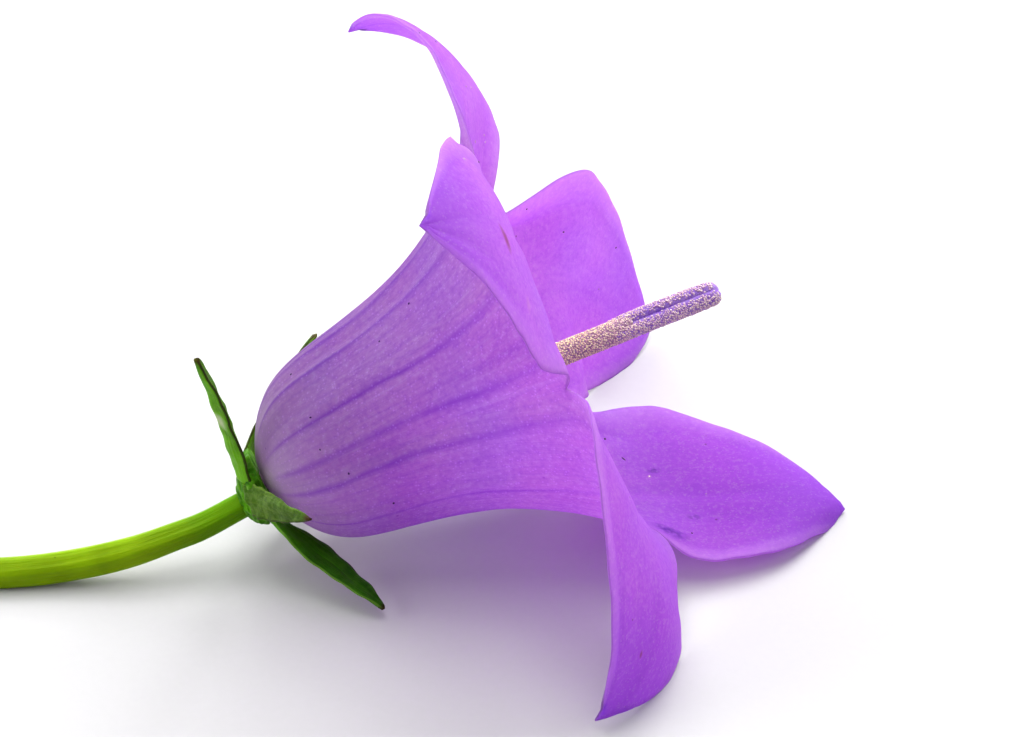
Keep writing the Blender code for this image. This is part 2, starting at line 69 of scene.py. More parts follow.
# The rolled collar under the lobes, and the free part of each lobe
COLLAR_LENGTH = 3.0
LOBE_LENGTH = 11.9
TIP_POINT = 0.4
PETAL_LENGTH = BELL_LENGTH + COLLAR_LENGTH + LOBE_LENGTH + TIP_POINT
LOBE_COUNT = 5
HALF_SECTOR = math.pi / LOBE_COUNT
FIRST_BEARING = math.radians(-4.5)
FULL_HALF_WIDTH = 7.0

# Outline of a lobe, in shares of its length and width: past the seams it narrows,
# then it swells a little and tapers to a point
NOTCH_LENGTH = 0.12
NOTCH_DEPTH = 0.04
BELLY_LENGTH = 0.75
BELLY_SWELL = 0.08
TAPER_ROUNDNESS = 0.62
POINT_LENGTH = 0.35
POINT_NARROWING = 0.25

# Over what share of its length a lobe takes on its own slope, its breadth, and its own shape
OWN_SLOPE_RUN = 0.35
BREADTH_RUN = 0.2
SHAPE_RUN = 0.4

# Relief across each fifth of the bell: veins stand out, and the seams sink in. The margins of
# the lobes are wavy and ragged. The whole petal is crinkled, coarsely and finely: how high,
# how many swellings round and along it, and a shift. Relief starts a little over the foot and
# fades out along the lobes, and the wall thins from a place near the margin
VEIN_HEIGHT = 0.15
VEIN_WIDTH = 0.09
SIDE_VEIN_PLACE = 0.72
SIDE_VEIN_WIDTH = 0.10
SIDE_VEIN_SHARE = 0.6
SEAM_DEPTH = 0.20
SEAM_WIDTH = 0.13
MARGIN_WAVE = 0.07
MARGIN_WAVES = 13.0
FINE_WAVE = 0.025
FINE_WAVES = 46.0
RAGGED = 0.006
RAGGED_PATCHES = 14.0
CRINKLES = [(0.11, 2.2, 0.16, 0.0), (0.044, 6.0, 0.4, 9.0)]
RELIEF_START = 0.25
RELIEF_FADE = 0.8
MARGIN_START = 0.86

# How far the rim dips back at the seam that each lobe shares with the one before it, how
# wide a dip is across a lobe, and over how much of the lobe it fades out
SEAM_DIPS = [0.0, 1.6, 1.4, 0.0, 0.8]
DIP_WIDTH = 0.35
DIP_FADE = 0.3

# How each lobe is shaped. Bend and curl turn it outwards along its length, and hook its tip
# alone; sway turns it round the axis and twist tips it over its midrib; the backs are how
# far its two margins bend back. Breadth and length scale it, lean gives one half more of
# its width, and fullness is how far its width lasts towards the tip.
Lobe = namedtuple("Lobe", "bend reach curl hook sway twist backs breadth length lean fullness")
LOBES = [
    Lobe(-23, 11.0, -4, 50, -7, -11, (-0.5, 1.2), 1.07, 1.02, 0.11, 2.3),
    Lobe(29, 7.6, -2, 2, -16, -32, (0.3, 0.6), 0.96, 1.03, 0.19, 1.9),
    Lobe(19.5, 4.1, 109, 4, -8, 8, (0.5, -0.4), 0.9, 1.05, -0.08, 2.9),
    Lobe(38, 5.9, 74, 0, 2, 2, (1.3, 1.3), 0.99, 1.0, 0.0, 2.4),
    Lobe(51, 6.2, 82, -5, 13.5, -11, (-0.8, 2.0), 1.12, 1.06, -0.06, 2.3),
]

# The mesh of a fifth of the bell: columns from seam to seam, and rows along it, which are
# closer at the foot of the bell and at both ends of a lobe
COLUMN_COUNT = 44
COLUMNS = [2.0 * column / COLUMN_COUNT - 1.0 for column in range(COLUMN_COUNT + 1)]
MIDDLE = COLUMN_COUNT // 2
BELL_ROWS = 56
COLLAR_ROWS = 14
BELL_ROW_SPREAD = 1.35
LOBE_ROWS = 60
EVEN_ROWS = 0.45
MERIDIAN_STEP = 0.05

# Ovary under the bell: height and radius, with low ribs. Its lower end leans to the ground
OVARY_PROFILE = [(-2.0, 0.8), (-1.85, 1.05), (-1.65, 1.4), (-1.4, 1.7), (-1.05, 1.95), (-0.3, 1.95)]
OVARY_LEAN = 0.9
OVARY_RIBS = 10
OVARY_RIB = 0.05
OVARY_SIDES = 160
OVARY_ROWS = 60
OVARY_CRUMPLE = 0.16
OVARY_PATCHES = (3.2, 6.0)

# Each sepal: bearings at root and tip, mid and tip as radius and height, half width, how
# deep it is folded, how far it turns over on its way out, and how crumpled it is. The fold's
# crease is rounded by the first number, and lowered by the second so that it stays in place
Sepal = namedtuple("Sepal", "root_bearing tip_bearing mid tip half_width fold turn crumple")
SEPAL_ROOT = (1.2, -1.3)
SEPAL_NECK = 0.9
SEPAL_WALL = 0.34
SEPAL_RIM = 0.25
SEPAL_ROWS = 70
SEPAL_COLUMN_COUNT = 16
SEPAL_NECK_RUN = 0.25
SEPAL_TAPER = 0.7
SEPAL_BELLY = 0.9
SEPAL_TEETH = 34.0
SEPAL_TOOTH = 0.05
SEPAL_TURN_RUN = 0.4
SEPAL_CREASE = (0.02, 0.14)
CRUMPLE_RUN = 0.15
CRUMPLE_PATCHES = (1.3, 0.9)
SEPALS = [
    Sepal(-47, -50, (6.7, 1.6), (9.6, 3.05), 1.05, 0.15, 40, 0.10),
    Sepal(32, 41, (5.0, -0.6), (8.2, 3.5), 1.00, 0.30, 0, 0.08),
    Sepal(90, 94, (5.3, 0.2), (10.1, 5.3), 0.95, 0.30, 2, 0.08),
    Sepal(196, 190, (6.9, -0.3), (10.7, 0.1), 1.05, 0.58, 0, 0.12),
    Sepal(-101, -106, (2.2, -1.15), (9.0, 2.1), 0.90, 0.12, -35, 0.42),
]
SEPAL_SKINS = ["dark", "dark", "folded", "papery", "withered"]

# Stem: its line from the ovary to the cut, measured from the foot of the bell. It sinks a
# little into the surface, which flattens it. The slanted cut is CUT_BACK radii before the end
# of the line
STEM_RISING = [
    (-1.45, 0.0, -1.55),
    (-3.75, -0.05, -2.6),
    (-5.4, -0.25, -2.95),
    (-8.0, -0.35, -3.55),
    (-11.0, 0.0, -4.15),
    (-14.5, 0.5, -4.48),
]
STEM_LYING = [(-19.0, 1.35), (-25.0, 2.75), (-31.0, 4.5), (-37.0, 6.6)]
STEM_RADIUS = 0.86
STEM_SWELL = [0.84, 0.9, 1.0, 1.0, 1.0, 1.0]
STEM_SINK = 0.06
STEM_RIBS = 5
STEM_RIB = 0.05
STEM_FINE_RIBS = 20
STEM_FINE_RIB = 0.012
STEM_SIDES = 80
STEM_RINGS = 240
CUT_SLANT = math.radians(28.0)
CUT_BACK = 1.2

# Style: a rod that sags a little, with three closed stigma lobes at its end
STYLE_FOOT = -0.4
STYLE_LENGTH = 22.6
STYLE_RADIUS = 0.66
STYLE_SWELL = [0.8, 1.0, 1.0, 1.0, 1.0, 1.0]
STYLE_SAG = 1.7
STYLE_SAG_POWER = 1.45
STYLE_RIB = 0.02
STYLE_SIDES = 42
STYLE_RINGS = 90
STIGMA_COUNT = 3
STIGMA_LENGTH = 5.2
STIGMA_ROOT = 1.2
STIGMA_RADIUS = 0.43
STIGMA_SWELL = [0.8, 0.95, 1.0, 1.0, 1.05, 1.08, 1.12, 1.2]
STIGMA_OFFSET = 0.37
STIGMA_CLOSING = 0.5
STIGMA_ROUND_END = 0.10
STIGMA_BLUNT = 0.02
STIGMA_TURN = math.radians(30.0)
STIGMA_SIDES = 28
STIGMA_RINGS = 64

# Stamens: five broad feet on a ring round the style, each with a withered anther. The line is
# radius and height, the radii are those of the stamen along it, and it drifts to one side at
# each step. Hairs grow on the foot, and fade out over a height
RING_RADIUS = 1.55
RING_HEIGHT = 1.35
RING_THICKNESS = 0.40
RING_SEGMENTS = 80
RING_SIDES = 20
STAMEN_LINE = [(1.55, 1.35), (1.95, 2.3), (1.75, 3.4), (2.15, 4.6), (2.75, 5.5), (2.65, 6.6)]
STAMEN_RADII = [0.60, 0.48, 0.30, 0.28, 0.36, 0.28]
STAMEN_DRIFT = 0.09
STAMEN_RIBS = 3
STAMEN_RIB = 0.16
HAIR_START = 0.6
HAIR_FADE = 1.2
STAMEN_SIDES = 24
STAMEN_RINGS = 60

# Small bodies scattered over a surface: the most to a square metre, and their sizes
SCATTER_DENSITY = 3.0e8
SCATTER_SIZES = (0.75, 1.3)
POLLEN = {"Spacing": 0.095 * MM, "Width": 0.135 * MM, "Length": 0.11 * MM, "Seed": 7}
HAIRS = {"Spacing": 0.22 * MM, "Width": 0.035 * MM, "Length": 0.9 * MM}
POLLEN_SEEDS = 11
HAIR_SEEDS = 21

# Pollen lies on the rod from a height on, and on each stigma lobe's outer side: from where the
# lobes part, where it fades in over a length, and thinner towards the tip. The cleft's turn
# goes from bare to dusted
POLLEN_START = 9.0
POLLEN_RUN = 2.0
POLLEN_END_RUN = 0.1
CLEFT_TURN = (-0.15, 0.45)
PARTING_RUN = 0.6
TIP_THINNING = 0.15

# The camera: its angle round the bloom and over the table, its place from the foot of the
# bell in millimetres, and its lens for an image 1024 pixels wide
CAMERA_TURN = math.radians(-13.0)
CAMERA_RISE = math.radians(33.5)
CAMERA_PLACE = Vector((-19.75, -146.45, 104.76))
FOCAL_PIXELS = 3214.0
IMAGE_WIDTH = 1024
SENSOR_WIDTH = 36.0
CAMERA_NEAR = 5.0 * MM

# How much of a petal's shading is light that comes through it, and how far the colour of that
# light goes from the petal's own to that of its pale sap
CLEARNESS = 0.72
SAP_PALENESS = 0.42
PALE_SAP = "#e89cff"

# White paper: the two tones of its grain, how far it lies under the bloom in millimetres, and
# its size in metres
PAPER_TONES = ("#c2c2c2", "#c4c4c4")
FLOOR_DROP = 0.02
FLOOR_SIZE = 2.4


def linear(hex_colour):
    """A hex sRGB colour as linear red, green, blue and alpha."""
    channels = [int(hex_colour[start:start + 2], 16) / 255.0 for start in (1, 3, 5)]
    values = [c / 12.92 if c <= 0.04045 else ((c + 0.055) / 1.055) ** 2.4 for c in channels]
    return (*values, 1.0)


def smooth(share):
    """Ease from 0 to 1 as share goes from 0 to 1."""
    share = min(max(share, 0.0), 1.0)
    return share * share * (3.0 - 2.0 * share)


def bell_radius(height):
    """Radius of the bell at a height over its foot, up to the collar."""
    shoulder = 1.0 - math.exp(-height / SHOULDER_HEIGHT)
    flare = FLARE * (height / BELL_LENGTH) ** 3
    return FOOT_RADIUS + (WAIST_RADIUS - FOOT_RADIUS) * shoulder + flare


def bell_slope(height):
    """Angle between the bell's wall and its axis."""
    shoulder = (WAIST_RADIUS - FOOT_RADIUS) / SHOULDER_HEIGHT * math.exp(-height / SHOULDER_HEIGHT)
    flare = 3.0 * FLARE / BELL_LENGTH * (height / BELL_LENGTH) ** 2
    return math.atan(shoulder + flare)


def lobe_bearing(index):
    return FIRST_BEARING + index * 2.0 * HALF_SECTOR


def lobe_slope(lobe, travel):
    """Angle between a lobe and the axis, a distance past the end of the bell."""
    share = travel / (COLLAR_LENGTH + LOBE_LENGTH)
    turned = lobe.bend * smooth(travel / lobe.reach) + lobe.curl * share ** 2
    turned += lobe.hook * share ** 6
    return bell_slope(BELL_LENGTH) + math.radians(turned)


def shared_slope(bearing, travel):
    """Slope of the collar at a bearing: its two nearest lobes, blended."""
    total = 0.0
    weights = 0.0
    for index, lobe in enumerate(LOBES):
        apart = math.remainder(bearing - lobe_bearing(index), 2.0 * math.pi)
        if abs(apart) < 2.0 * HALF_SECTOR:
            weight = math.cos(apart / (2.0 * HALF_SECTOR) * math.pi / 2.0) ** 2
            total += weight * lobe_slope(lobe, travel)
            weights += weight
    return total / weights


def meridian(bearing, lobe):
    """(height, radius, slope) at each step past the bell, along one line of a lobe."""
    steps = round((COLLAR_LENGTH + LOBE_LENGTH * lobe.length + TIP_POINT) / MERIDIAN_STEP)
    height = BELL_LENGTH
    radius = bell_radius(BELL_LENGTH)
    line = []
    for step in range(steps + 2):
        travel = step * MERIDIAN_STEP
        own = smooth((travel - COLLAR_LENGTH) / (OWN_SLOPE_RUN * LOBE_LENGTH))
        slope = shared_slope(bearing, travel) * (1.0 - own) + lobe_slope(lobe, travel) * own
        line.append((height, radius, slope))
        height += MERIDIAN_STEP * math.cos(slope)
        radius += MERIDIAN_STEP * math.sin(slope)
    return line


def on_meridian(line, travel):
    """(height, radius, slope) between two steps of a meridian."""
    along = travel / MERIDIAN_STEP
    step = int(along)
    share = along - step
    return [low + (high - low) * share for low, high in zip(line[step], line[step + 1])]


def lobe_half_width(share, fullness):
    """Half the lobe's width at a share of its free length, against its width at the seams."""
    notch = 1.0 - NOTCH_DEPTH * smooth(share / NOTCH_LENGTH)
    belly = 1.0 + BELLY_SWELL * math.sin(math.pi * min(share / BELLY_LENGTH, 1.0)) ** 2
    taper = max(1.0 - share ** fullness, 0.0) ** TAPER_ROUNDNESS
    point = 1.0 - POINT_NARROWING * smooth((share - 1.0 + POINT_LENGTH) / POINT_LENGTH)
    return notch * belly * taper * point


def relief(across, strength):
    """How far a vein stands out or a seam sinks in, across one fifth of the bell."""
    middle = math.exp(-(across / VEIN_WIDTH) ** 2)
    sides = SIDE_VEIN_SHARE * math.exp(-((abs(across) - SIDE_VEIN_PLACE) / SIDE_VEIN_WIDTH) ** 2)
    seam = math.exp(-((abs(across) - 1.0) / SEAM_WIDTH) ** 2)
    return strength * (VEIN_HEIGHT * (middle + sides) - SEAM_DEPTH * seam)


def crinkle(bearing, distance):
    """Soft uneven swellings of the petal, a few millimetres apart and longer than wide."""
    total = 0.0
    for high, around, along, shift in CRINKLES:
        beside = Vector((around * math.cos(bearing), around * math.sin(bearing), 0.0))
        total += high * noise.noise(beside + Vector((0.0, 0.0, along * distance + shift)))
    return total


def petal_point(bearing, height, radius, slope, lift):
    """A point of the petal wall, lifted off it along its outward normal."""
    outward = radius + math.cos(slope) * lift
    return Vector((
        outward * math.cos(bearing),
        outward * math.sin(bearing),
        height - math.sin(slope) * lift,
    ))


def seam_dip(index, across, travel, share):
    """How far a point of the rim or of a lobe's first stretch is drawn back at a seam."""
    depth = SEAM_DIPS[(index + (across > 0.0)) % LOBE_COUNT]
    near_seam = 1.0 - smooth((1.0 - abs(across)) / DIP_WIDTH)
    return depth * near_seam * smooth(travel / COLLAR_LENGTH) * (1.0 - smooth(share / DIP_FADE))


def lobe_row(index, lines, travel):
    """One row of points across a lobe, from seam to seam."""
    lobe = LOBES[index]
    share = max((travel - COLLAR_LENGTH) / (LOBE_LENGTH * lobe.length), 0.0)
    seam_radius = on_meridian(lines[MIDDLE], COLLAR_LENGTH)[1]
    half_width = HALF_SECTOR * seam_radius * lobe_half_width(share, lobe.fullness)
    half_width *= 1.0 + (lobe.breadth - 1.0) * smooth(share / BREADTH_RUN)
    shaped = smooth(share / SHAPE_RUN)
    row = []
    for across, line in zip(COLUMNS, lines):
        out = abs(across)
        full_radius = on_meridian(line, travel)[1]
        height, radius, slope = on_meridian(line, travel - seam_dip(index, across, travel, share))
        ragged = noise.noise(Vector((RAGGED_PATCHES * share, index, across)))
        offset = half_width * across * (1.0 + RAGGED * out ** 6 * ragged)
        offset *= 1.0 + across * lobe.lean * shaped
        spread = HALF_SECTOR * across if share == 0.0 else offset / full_radius
        bearing = lobe_bearing(index) + spread + math.radians(lobe.sway) * smooth(share)
        back = lobe.backs[across > 0.0] * (offset / FULL_HALF_WIDTH) ** 2
        tip_over = math.tan(math.radians(lobe.twist)) * offset
        wave = math.sin(MARGIN_WAVES * share + 2.0 * index + across)
        fine_wave = math.sin(FINE_WAVES * share + 3.0 * index + 2.0 * across)
        waves = MARGIN_WAVE * out ** 3 * wave + FINE_WAVE * out ** 5 * fine_wave
        lift = shaped * (back + tip_over + waves)
        lift += relief(across, 1.0 - RELIEF_FADE * smooth(share))
        lift += crinkle(lobe_bearing(index) + HALF_SECTOR * across, BELL_LENGTH + travel)
        row.append(petal_point(bearing, height, radius, slope, lift))
    return row


def bell_row(height):
    """One ring of points round the bell, seam columns shared."""
    row = []
    strength = smooth(height / (RELIEF_START * BELL_LENGTH))
    for index in range(LOBE_COUNT):
        for across in COLUMNS[:-1]:
            bearing = lobe_bearing(index) + HALF_SECTOR * across
            lift = relief(across, strength) + strength * crinkle(bearing, height)
            row.append(petal_point(bearing, height, bell_radius(height), bell_slope(height), lift))
    return row


def add_face(mesh, chart, corners, places):
    """A face between corners, each with its place on the chart."""
    face = mesh.faces.new(corners)
    for loop, place in zip(face.loops, places):
        loop[chart].uv = place


def add_band(mesh, chart, rows, span, columns, start=0.0, closed=False):
    """Quads between two rows, charted across by the columns from start, and along by the span."""
    lower, upper = rows
    low, high = span
    for near in range(len(lower) if closed else len(lower) - 1):
        far = (near + 1) % len(lower)
        left = start + near / columns
        right = left + 1.0 / columns
        corners = (lower[near], lower[far], upper[far], upper[near])
        add_face(mesh, chart, corners, ((left, low), (right, low), (right, high), (left, high)))


def add_lobe(mesh, chart, wall, index, lines, rim):
    """The free part of one lobe, from its share of the collar's rim to its thin-edged tip."""
    start = BELL_LENGTH + COLLAR_LENGTH
    length = LOBE_LENGTH * LOBES[index].length
    lower = rim
    low = start / PETAL_LENGTH
    for row in range(1, LOBE_ROWS):
        even = row / LOBE_ROWS
        eased = 0.5 - 0.5 * math.cos(math.pi * even)
        charted = LOBE_LENGTH * (EVEN_ROWS * even + (1.0 - EVEN_ROWS) * eased)
        travel = COLLAR_LENGTH + charted * LOBES[index].length
        upper = [mesh.verts.new(point) for point in lobe_row(index, lines, travel)]
        for across, corner in zip(COLUMNS, upper):
            thinned = smooth((abs(across) - MARGIN_START) / (1.0 - MARGIN_START))
            corner[wall] = 1.0 - (1.0 - MARGIN_WALL) * thinned
        high = (start + charted) / PETAL_LENGTH
        add_band(mesh, chart, (lower, upper), (low, high), COLUMN_COUNT, start=index)
        lower = upper
        low = high
    tip = mesh.verts.new(lobe_row(index, lines, COLLAR_LENGTH + length + TIP_POINT)[MIDDLE])
    tip[wall] = MARGIN_WALL
    for column, (near, far) in enumerate(zip(lower, lower[1:])):
        left = index + column / COLUMN_COUNT
        places = ((left, low), (left + 1.0 / COLUMN_COUNT, low), (index + 0.5, 1.0))
        add_face(mesh, chart, (near, far, tip), places)


def petal_surface():
    """The middle surface of the whole corolla: bell, collar and five lobes."""
    mesh = bmesh.new()
    chart = mesh.loops.layers.uv.new("petal")
    wall = mesh.verts.layers.float.new("wall_share")
    rings = []
    distances = []
    for row in range(BELL_ROWS):
        height = BELL_LENGTH * (row / BELL_ROWS) ** BELL_ROW_SPREAD
        distances.append(height)
        rings.append([mesh.verts.new(point) for point in bell_row(height)])

    lines = []
    for index, lobe in enumerate(LOBES):
        bearings = [lobe_bearing(index) + HALF_SECTOR * across for across in COLUMNS]
        lines.append([meridian(bearing, lobe) for bearing in bearings])
    for row in range(COLLAR_ROWS + 1):
        travel = COLLAR_LENGTH * row / COLLAR_ROWS
        ring = []
        for index in range(LOBE_COUNT):
            ring += lobe_row(index, lines[index], travel)[:-1]
        distances.append(BELL_LENGTH + travel)
        rings.append([mesh.verts.new(point) for point in ring])
    for corner in [corner for ring in rings for corner in ring]:
        corner[wall] = 1.0
    charted = [distance / PETAL_LENGTH for distance in distances]
    for place in range(len(rings) - 1):
        span = charted[place:place + 2]
        add_band(mesh, chart, rings[place:place + 2], span, COLUMN_COUNT, closed=True)

    for index in range(LOBE_COUNT):
        start = index * COLUMN_COUNT
        count = LOBE_COUNT * COLUMN_COUNT
        rim = [rings[-1][(start + column) % count] for column in range(COLUMN_COUNT + 1)]
        add_lobe(mesh, chart, wall, index, lines[index], rim)
    return mesh


def smooth_line(points, count):
    """Points spread evenly along a smooth curve through the given ones."""
    padded = [2.0 * points[0] - points[1]] + points + [2.0 * points[-1] - points[-2]]
    line = []
    for place in range(count):
        along = place / (count - 1) * (len(points) - 1)
        piece = min(int(along), len(points) - 2)
        share = along - piece
        before, start, end, after = padded[piece:piece + 4]
        line.append(0.5 * (
            2.0 * start
            + (end - before) * share
            + (2.0 * before - 5.0 * start + 4.0 * end - after) * share ** 2
            + (3.0 * start - before - 3.0 * end + after) * share ** 3
        ))
    return line


def grown_body(path, radius, sides, facing=None):
    """A closed body round a path, charted as round and along; radius(share, angle) is its section.

    Each section is square to the path, or square to facing where that is given.
    """
    mesh = bmesh.new()
    chart = mesh.loops.layers.uv.new("skin")
    rings = []
    side = (path[1] - path[0]).orthogonal().normalized()
    for place, centre in enumerate(path):
        ahead = path[min(place + 1, len(path) - 1)]
        behind = path[max(place - 1, 0)]
        tangent = (ahead - behind).normalized() if facing is None else facing
        side = (side - tangent * side.dot(tangent)).normalized()
        other = tangent.cross(side)
        ring = []
        for step in range(sides):
            angle = 2.0 * math.pi * step / sides
            reach = radius(place / (len(path) - 1), angle)
            offset = (side * math.cos(angle) + other * math.sin(angle)) * reach
            ring.append(mesh.verts.new(centre + offset))
        rings.append(ring)
    for place, pair in enumerate(zip(rings, rings[1:])):
        span = (place / (len(rings) - 1), (place + 1) / (len(rings) - 1))
        add_band(mesh, chart, pair, span, sides, closed=True)
    add_face(mesh, chart, list(reversed(rings[0])), [(0.5, 0.0)] * sides)
    add_face(mesh, chart, rings[-1], [(0.5, 1.0)] * sides)
    return mesh


def swelling(size, shares):
    """A function that reads the size times a list of shares, as one smooth run from 0 to 1."""
    def read(share):
        along = share * (len(shares) - 1)
        piece = min(int(along), len(shares) - 2)
        return size * (shares[piece] + (shares[piece + 1] - shares[piece]) * smooth(along - piece))
    return read


def ribbed(size, ribs=0, rib=0.0, fine_ribs=0, fine_rib=0.0):
    """A section radius with evenly spaced rounded ribs and finer ones between them."""
    def read(share, angle):
        ridges = rib * math.cos(ribs * angle) + fine_rib * math.cos(fine_ribs * angle)
        return size(share) * (1.0 + ridges)
    return read


def add_piece(name, mesh, place, *surfaces):
    """Turn a bmesh into a named object at the origin, with its place in its mesh."""
    data = bpy.data.meshes.new(name)
    bmesh.ops.transform(mesh, matrix=place, verts=mesh.verts)
    mesh.to_mesh(data)
    mesh.free()
    for surface in surfaces:
        data.materials.append(surface)
    data.shade_smooth()
    piece = bpy.data.objects.new(name, data)
    bpy.context.scene.collection.objects.link(piece)
    return piece


def settle(piece):
    """Apply a piece's modifiers to its mesh."""
    bpy.context.view_layer.update()
    evaluated = piece.evaluated_get(bpy.context.evaluated_depsgraph_get())
    data = bpy.data.meshes.new_from_object(evaluated)
    piece.modifiers.clear()
    piece.data = data
    data.shade_smooth()


def press_on_surface(piece):
    """Flatten what would sink below the surface that the bloom lies on."""
    for corner in piece.data.vertices:
        corner.co.z = max(corner.co.z, 0.0)


def hand_over(piece, slot, *nodes):
    """Tie a finished piece to the object, in place of the nodes that it stands for."""
    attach(piece, BODY)
    if nodes:
        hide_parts(*nodes)


MATH = "ShaderNodeMath"
VECTOR_MATH = "ShaderNodeVectorMath"
RAMP = "ShaderNodeValToRGB"
NOISE = "ShaderNodeTexNoise"
CELLS = "ShaderNodeTexVoronoi"
MIX = "ShaderNodeMix"
UV_MAP = "ShaderNodeUVMap"
SEPARATE = "ShaderNodeSeparateXYZ"
COMBINE = "ShaderNodeCombineXYZ"


def add_node(tree, kind, inputs=(), **settings):
    """Add a node with its settings. Its inputs are named, or listed in their order.

    Each is a value, a socket, or a node that gives its first live output. Stops, a setting
    of colour ramps, are places with their greys or colours.
    """
    node = tree.nodes.new(kind)
    stops = settings.pop("stops", [])
    for name, value in settings.items():
        setattr(node, name, value)
    for place, _ in stops[2:]:
        node.color_ramp.elements.new(place)
    for element, (place, tone) in zip(node.color_ramp.elements if stops else [], stops):
        element.position = place
        element.color = tone if isinstance(tone, tuple) else (tone, tone, tone, 1.0)
    named = inputs if isinstance(inputs, dict) else dict(enumerate(inputs))
    for name, value in named.items():
        if isinstance(value, bpy.types.Node):
            value = [socket for socket in value.outputs if socket.enabled][0]
        if isinstance(value, bpy.types.NodeSocket):
            tree.links.new(value, node.inputs[name])
        else:
            node.inputs[name].default_value = value
    return node


def new_surface(name, tissue, *look):
    """A material whose shader is what tissue(add, solid, *look) gives.

    add puts a node in its tree, and solid is the place by Object coordinates, in metres.
    """
    surface = bpy.data.materials.new(name)
    surface.use_nodes = True
    surface.node_tree.nodes.clear()
    add = functools.partial(add_node, surface.node_tree)
    solid = add("ShaderNodeTexCoord").outputs["Object"]
    add("ShaderNodeOutputMaterial", {"Surface": tissue(add, solid, *look)})
    return surface


def rise(low, high):
    """Ramp stops that go from 0 at low to 1 at high, which may be the smaller of the two."""
    return [(low, 0.0), (high, 1.0)] if low < high else [(high, 1.0), (low, 0.0)]


def clouds(add, place, size, low, high, detail=3.0, roughness=0.5):
    """Soft irregular patches of a size in millimetres: 0 where the noise is low, 1 where high."""
    noisy = add(NOISE, {
        "Vector": place, "Scale": 1.0 / (size * MM), "Detail": detail, "Roughness": roughness,
    })
    return add(RAMP, [noisy], stops=rise(low, high))


def drawn_out(add, chart, swells, detail=3.0, roughness=0.5, distortion=0.0):
    """Noise drawn out along a chart; swells is how many it has across and along the chart."""
    place = add(VECTOR_MATH, (chart, (*swells, 0.0)), operation="MULTIPLY")
    return add(NOISE, {
        "Vector": place, "Scale": 1.0, "Detail": detail, "Roughness": roughness,
        "Distortion": distortion,
    })


def specks(add, place, spacing, size):
    """Small round specks, one to a cell, with their spacing and size in millimetres."""
    cells = add(CELLS, {"Vector": place, "Scale": 1.0 / (spacing * MM)})
    return add(RAMP, [cells], stops=rise(size / spacing, 0.5 * size / spacing))


def spot(add, chart, centre, size):
    """How much of a soft spot covers a chart, round a centre and with its half sizes."""
    place = add(VECTOR_MATH, (chart, (*centre, 0.0)), operation="SUBTRACT")
    place = add(VECTOR_MATH, (place, (*size, 1.0)), operation="DIVIDE")
    distance = add(VECTOR_MATH, [place], operation="LENGTH")
    return add(RAMP, [distance], stops=rise(1.0, 0.25))


def layered(add, colour, layers):
    """A colour with tones laid over it; each has its cover, and the share that it may reach.

    A cover may be given as a value with the two places between which it goes from 0 to 1.
    """
    colour = linear(colour) if isinstance(colour, str) else colour
    for cover, share, tone in layers:
        if isinstance(cover, tuple):
            cover = add(RAMP, [cover[0]], stops=rise(*cover[1:]))
        strength = add(MATH, (cover, share), operation="MULTIPLY")
        tone = linear(tone) if isinstance(tone, str) else tone
        mixed = {0: strength, 6: colour, 7: tone}
        colour = add(MIX, mixed, data_type="RGBA", clamp_factor=True)
    return colour


def skinned(add, colour, height, finish, strength, depth):
    """Light and shade of a surface with fine relief; depth is the relief's in millimetres."""
    bump = add("ShaderNodeBump", {"Strength": strength, "Distance": depth * MM, "Height": height})
    return add("ShaderNodeBsdfPrincipled", {"Base Color": colour, "Normal": bump, **finish})


# Veins across one half of a fifth of the bell: place, half width and darkness
VEINS = [
    (0.0, 0.085, 1.0), (0.28, 0.03, 0.25), (0.50, 0.035, 0.30), (0.75, 0.08, 0.95),
    (0.93, 0.03, 0.25),
]
MIDRIB_SHIFT = 0.14

# Marks on the petals: lobe, place across it and along the petal, half width and length in mm
STAINS = [(0, -0.64, 0.650, 0.70, 1.3), (0, -0.30, 0.70, 0.35, 0.45), (0, 0.30, 0.66, 0.3, 0.5)]
BROWN_SPOTS = [(4, -0.12, 0.874, 0.20, 0.22), (3, 0.17, 0.817, 1.10, 0.30)]
PALE_SPOTS = [
    (0, 0.22, 0.645, 0.16, 0.20), (3, -0.67, 0.809, 0.28, 0.22), (3, 0.61, 0.773, 0.5, 0.4),
]

# Where the two lower lobes are painted a deeper violet than the others, as painted shade where less
# light reaches them: middle and half sizes
SHADED_LOWER_LOBES = [((0.5, 0.84), (1.0, 0.40)), ((4.5, 1.0), (0.9, 0.36))]

# Petal skin, in millimetres: its cells are really 0.04 across, drawn larger so that they show
CELL_WIDTH = 0.13
MOTTLE_SIZE = 0.30


def vein_stops():
    """Grey stops that rise to a vein's darkness and fall to nothing between the veins."""
    stops = []
    for place, half_width, darkness in VEINS:
        if place > 0.0:
            stops.append((place - half_width, 0.0))
        stops.append((place, darkness))
        stops.append((place + half_width, 0.0))
    return stops


def spots(add, chart, places):
    """The strongest of several spots, each with its centre and half sizes."""
    strongest, *others = [spot(add, chart, centre, size) for centre, size in places]
    for other in others:
        strongest = add(MATH, (strongest, other), operation="MAXIMUM")
    return strongest


def petal_marks(add, chart, marks):
    """The strongest of several marks on the petals."""
    return spots(add, chart, [
        ((lobe + 0.5 + 0.5 * across, along),
         (0.5 * half_width / FULL_HALF_WIDTH, half_length / PETAL_LENGTH))
        for lobe, across, along, half_width, half_length in marks
    ])
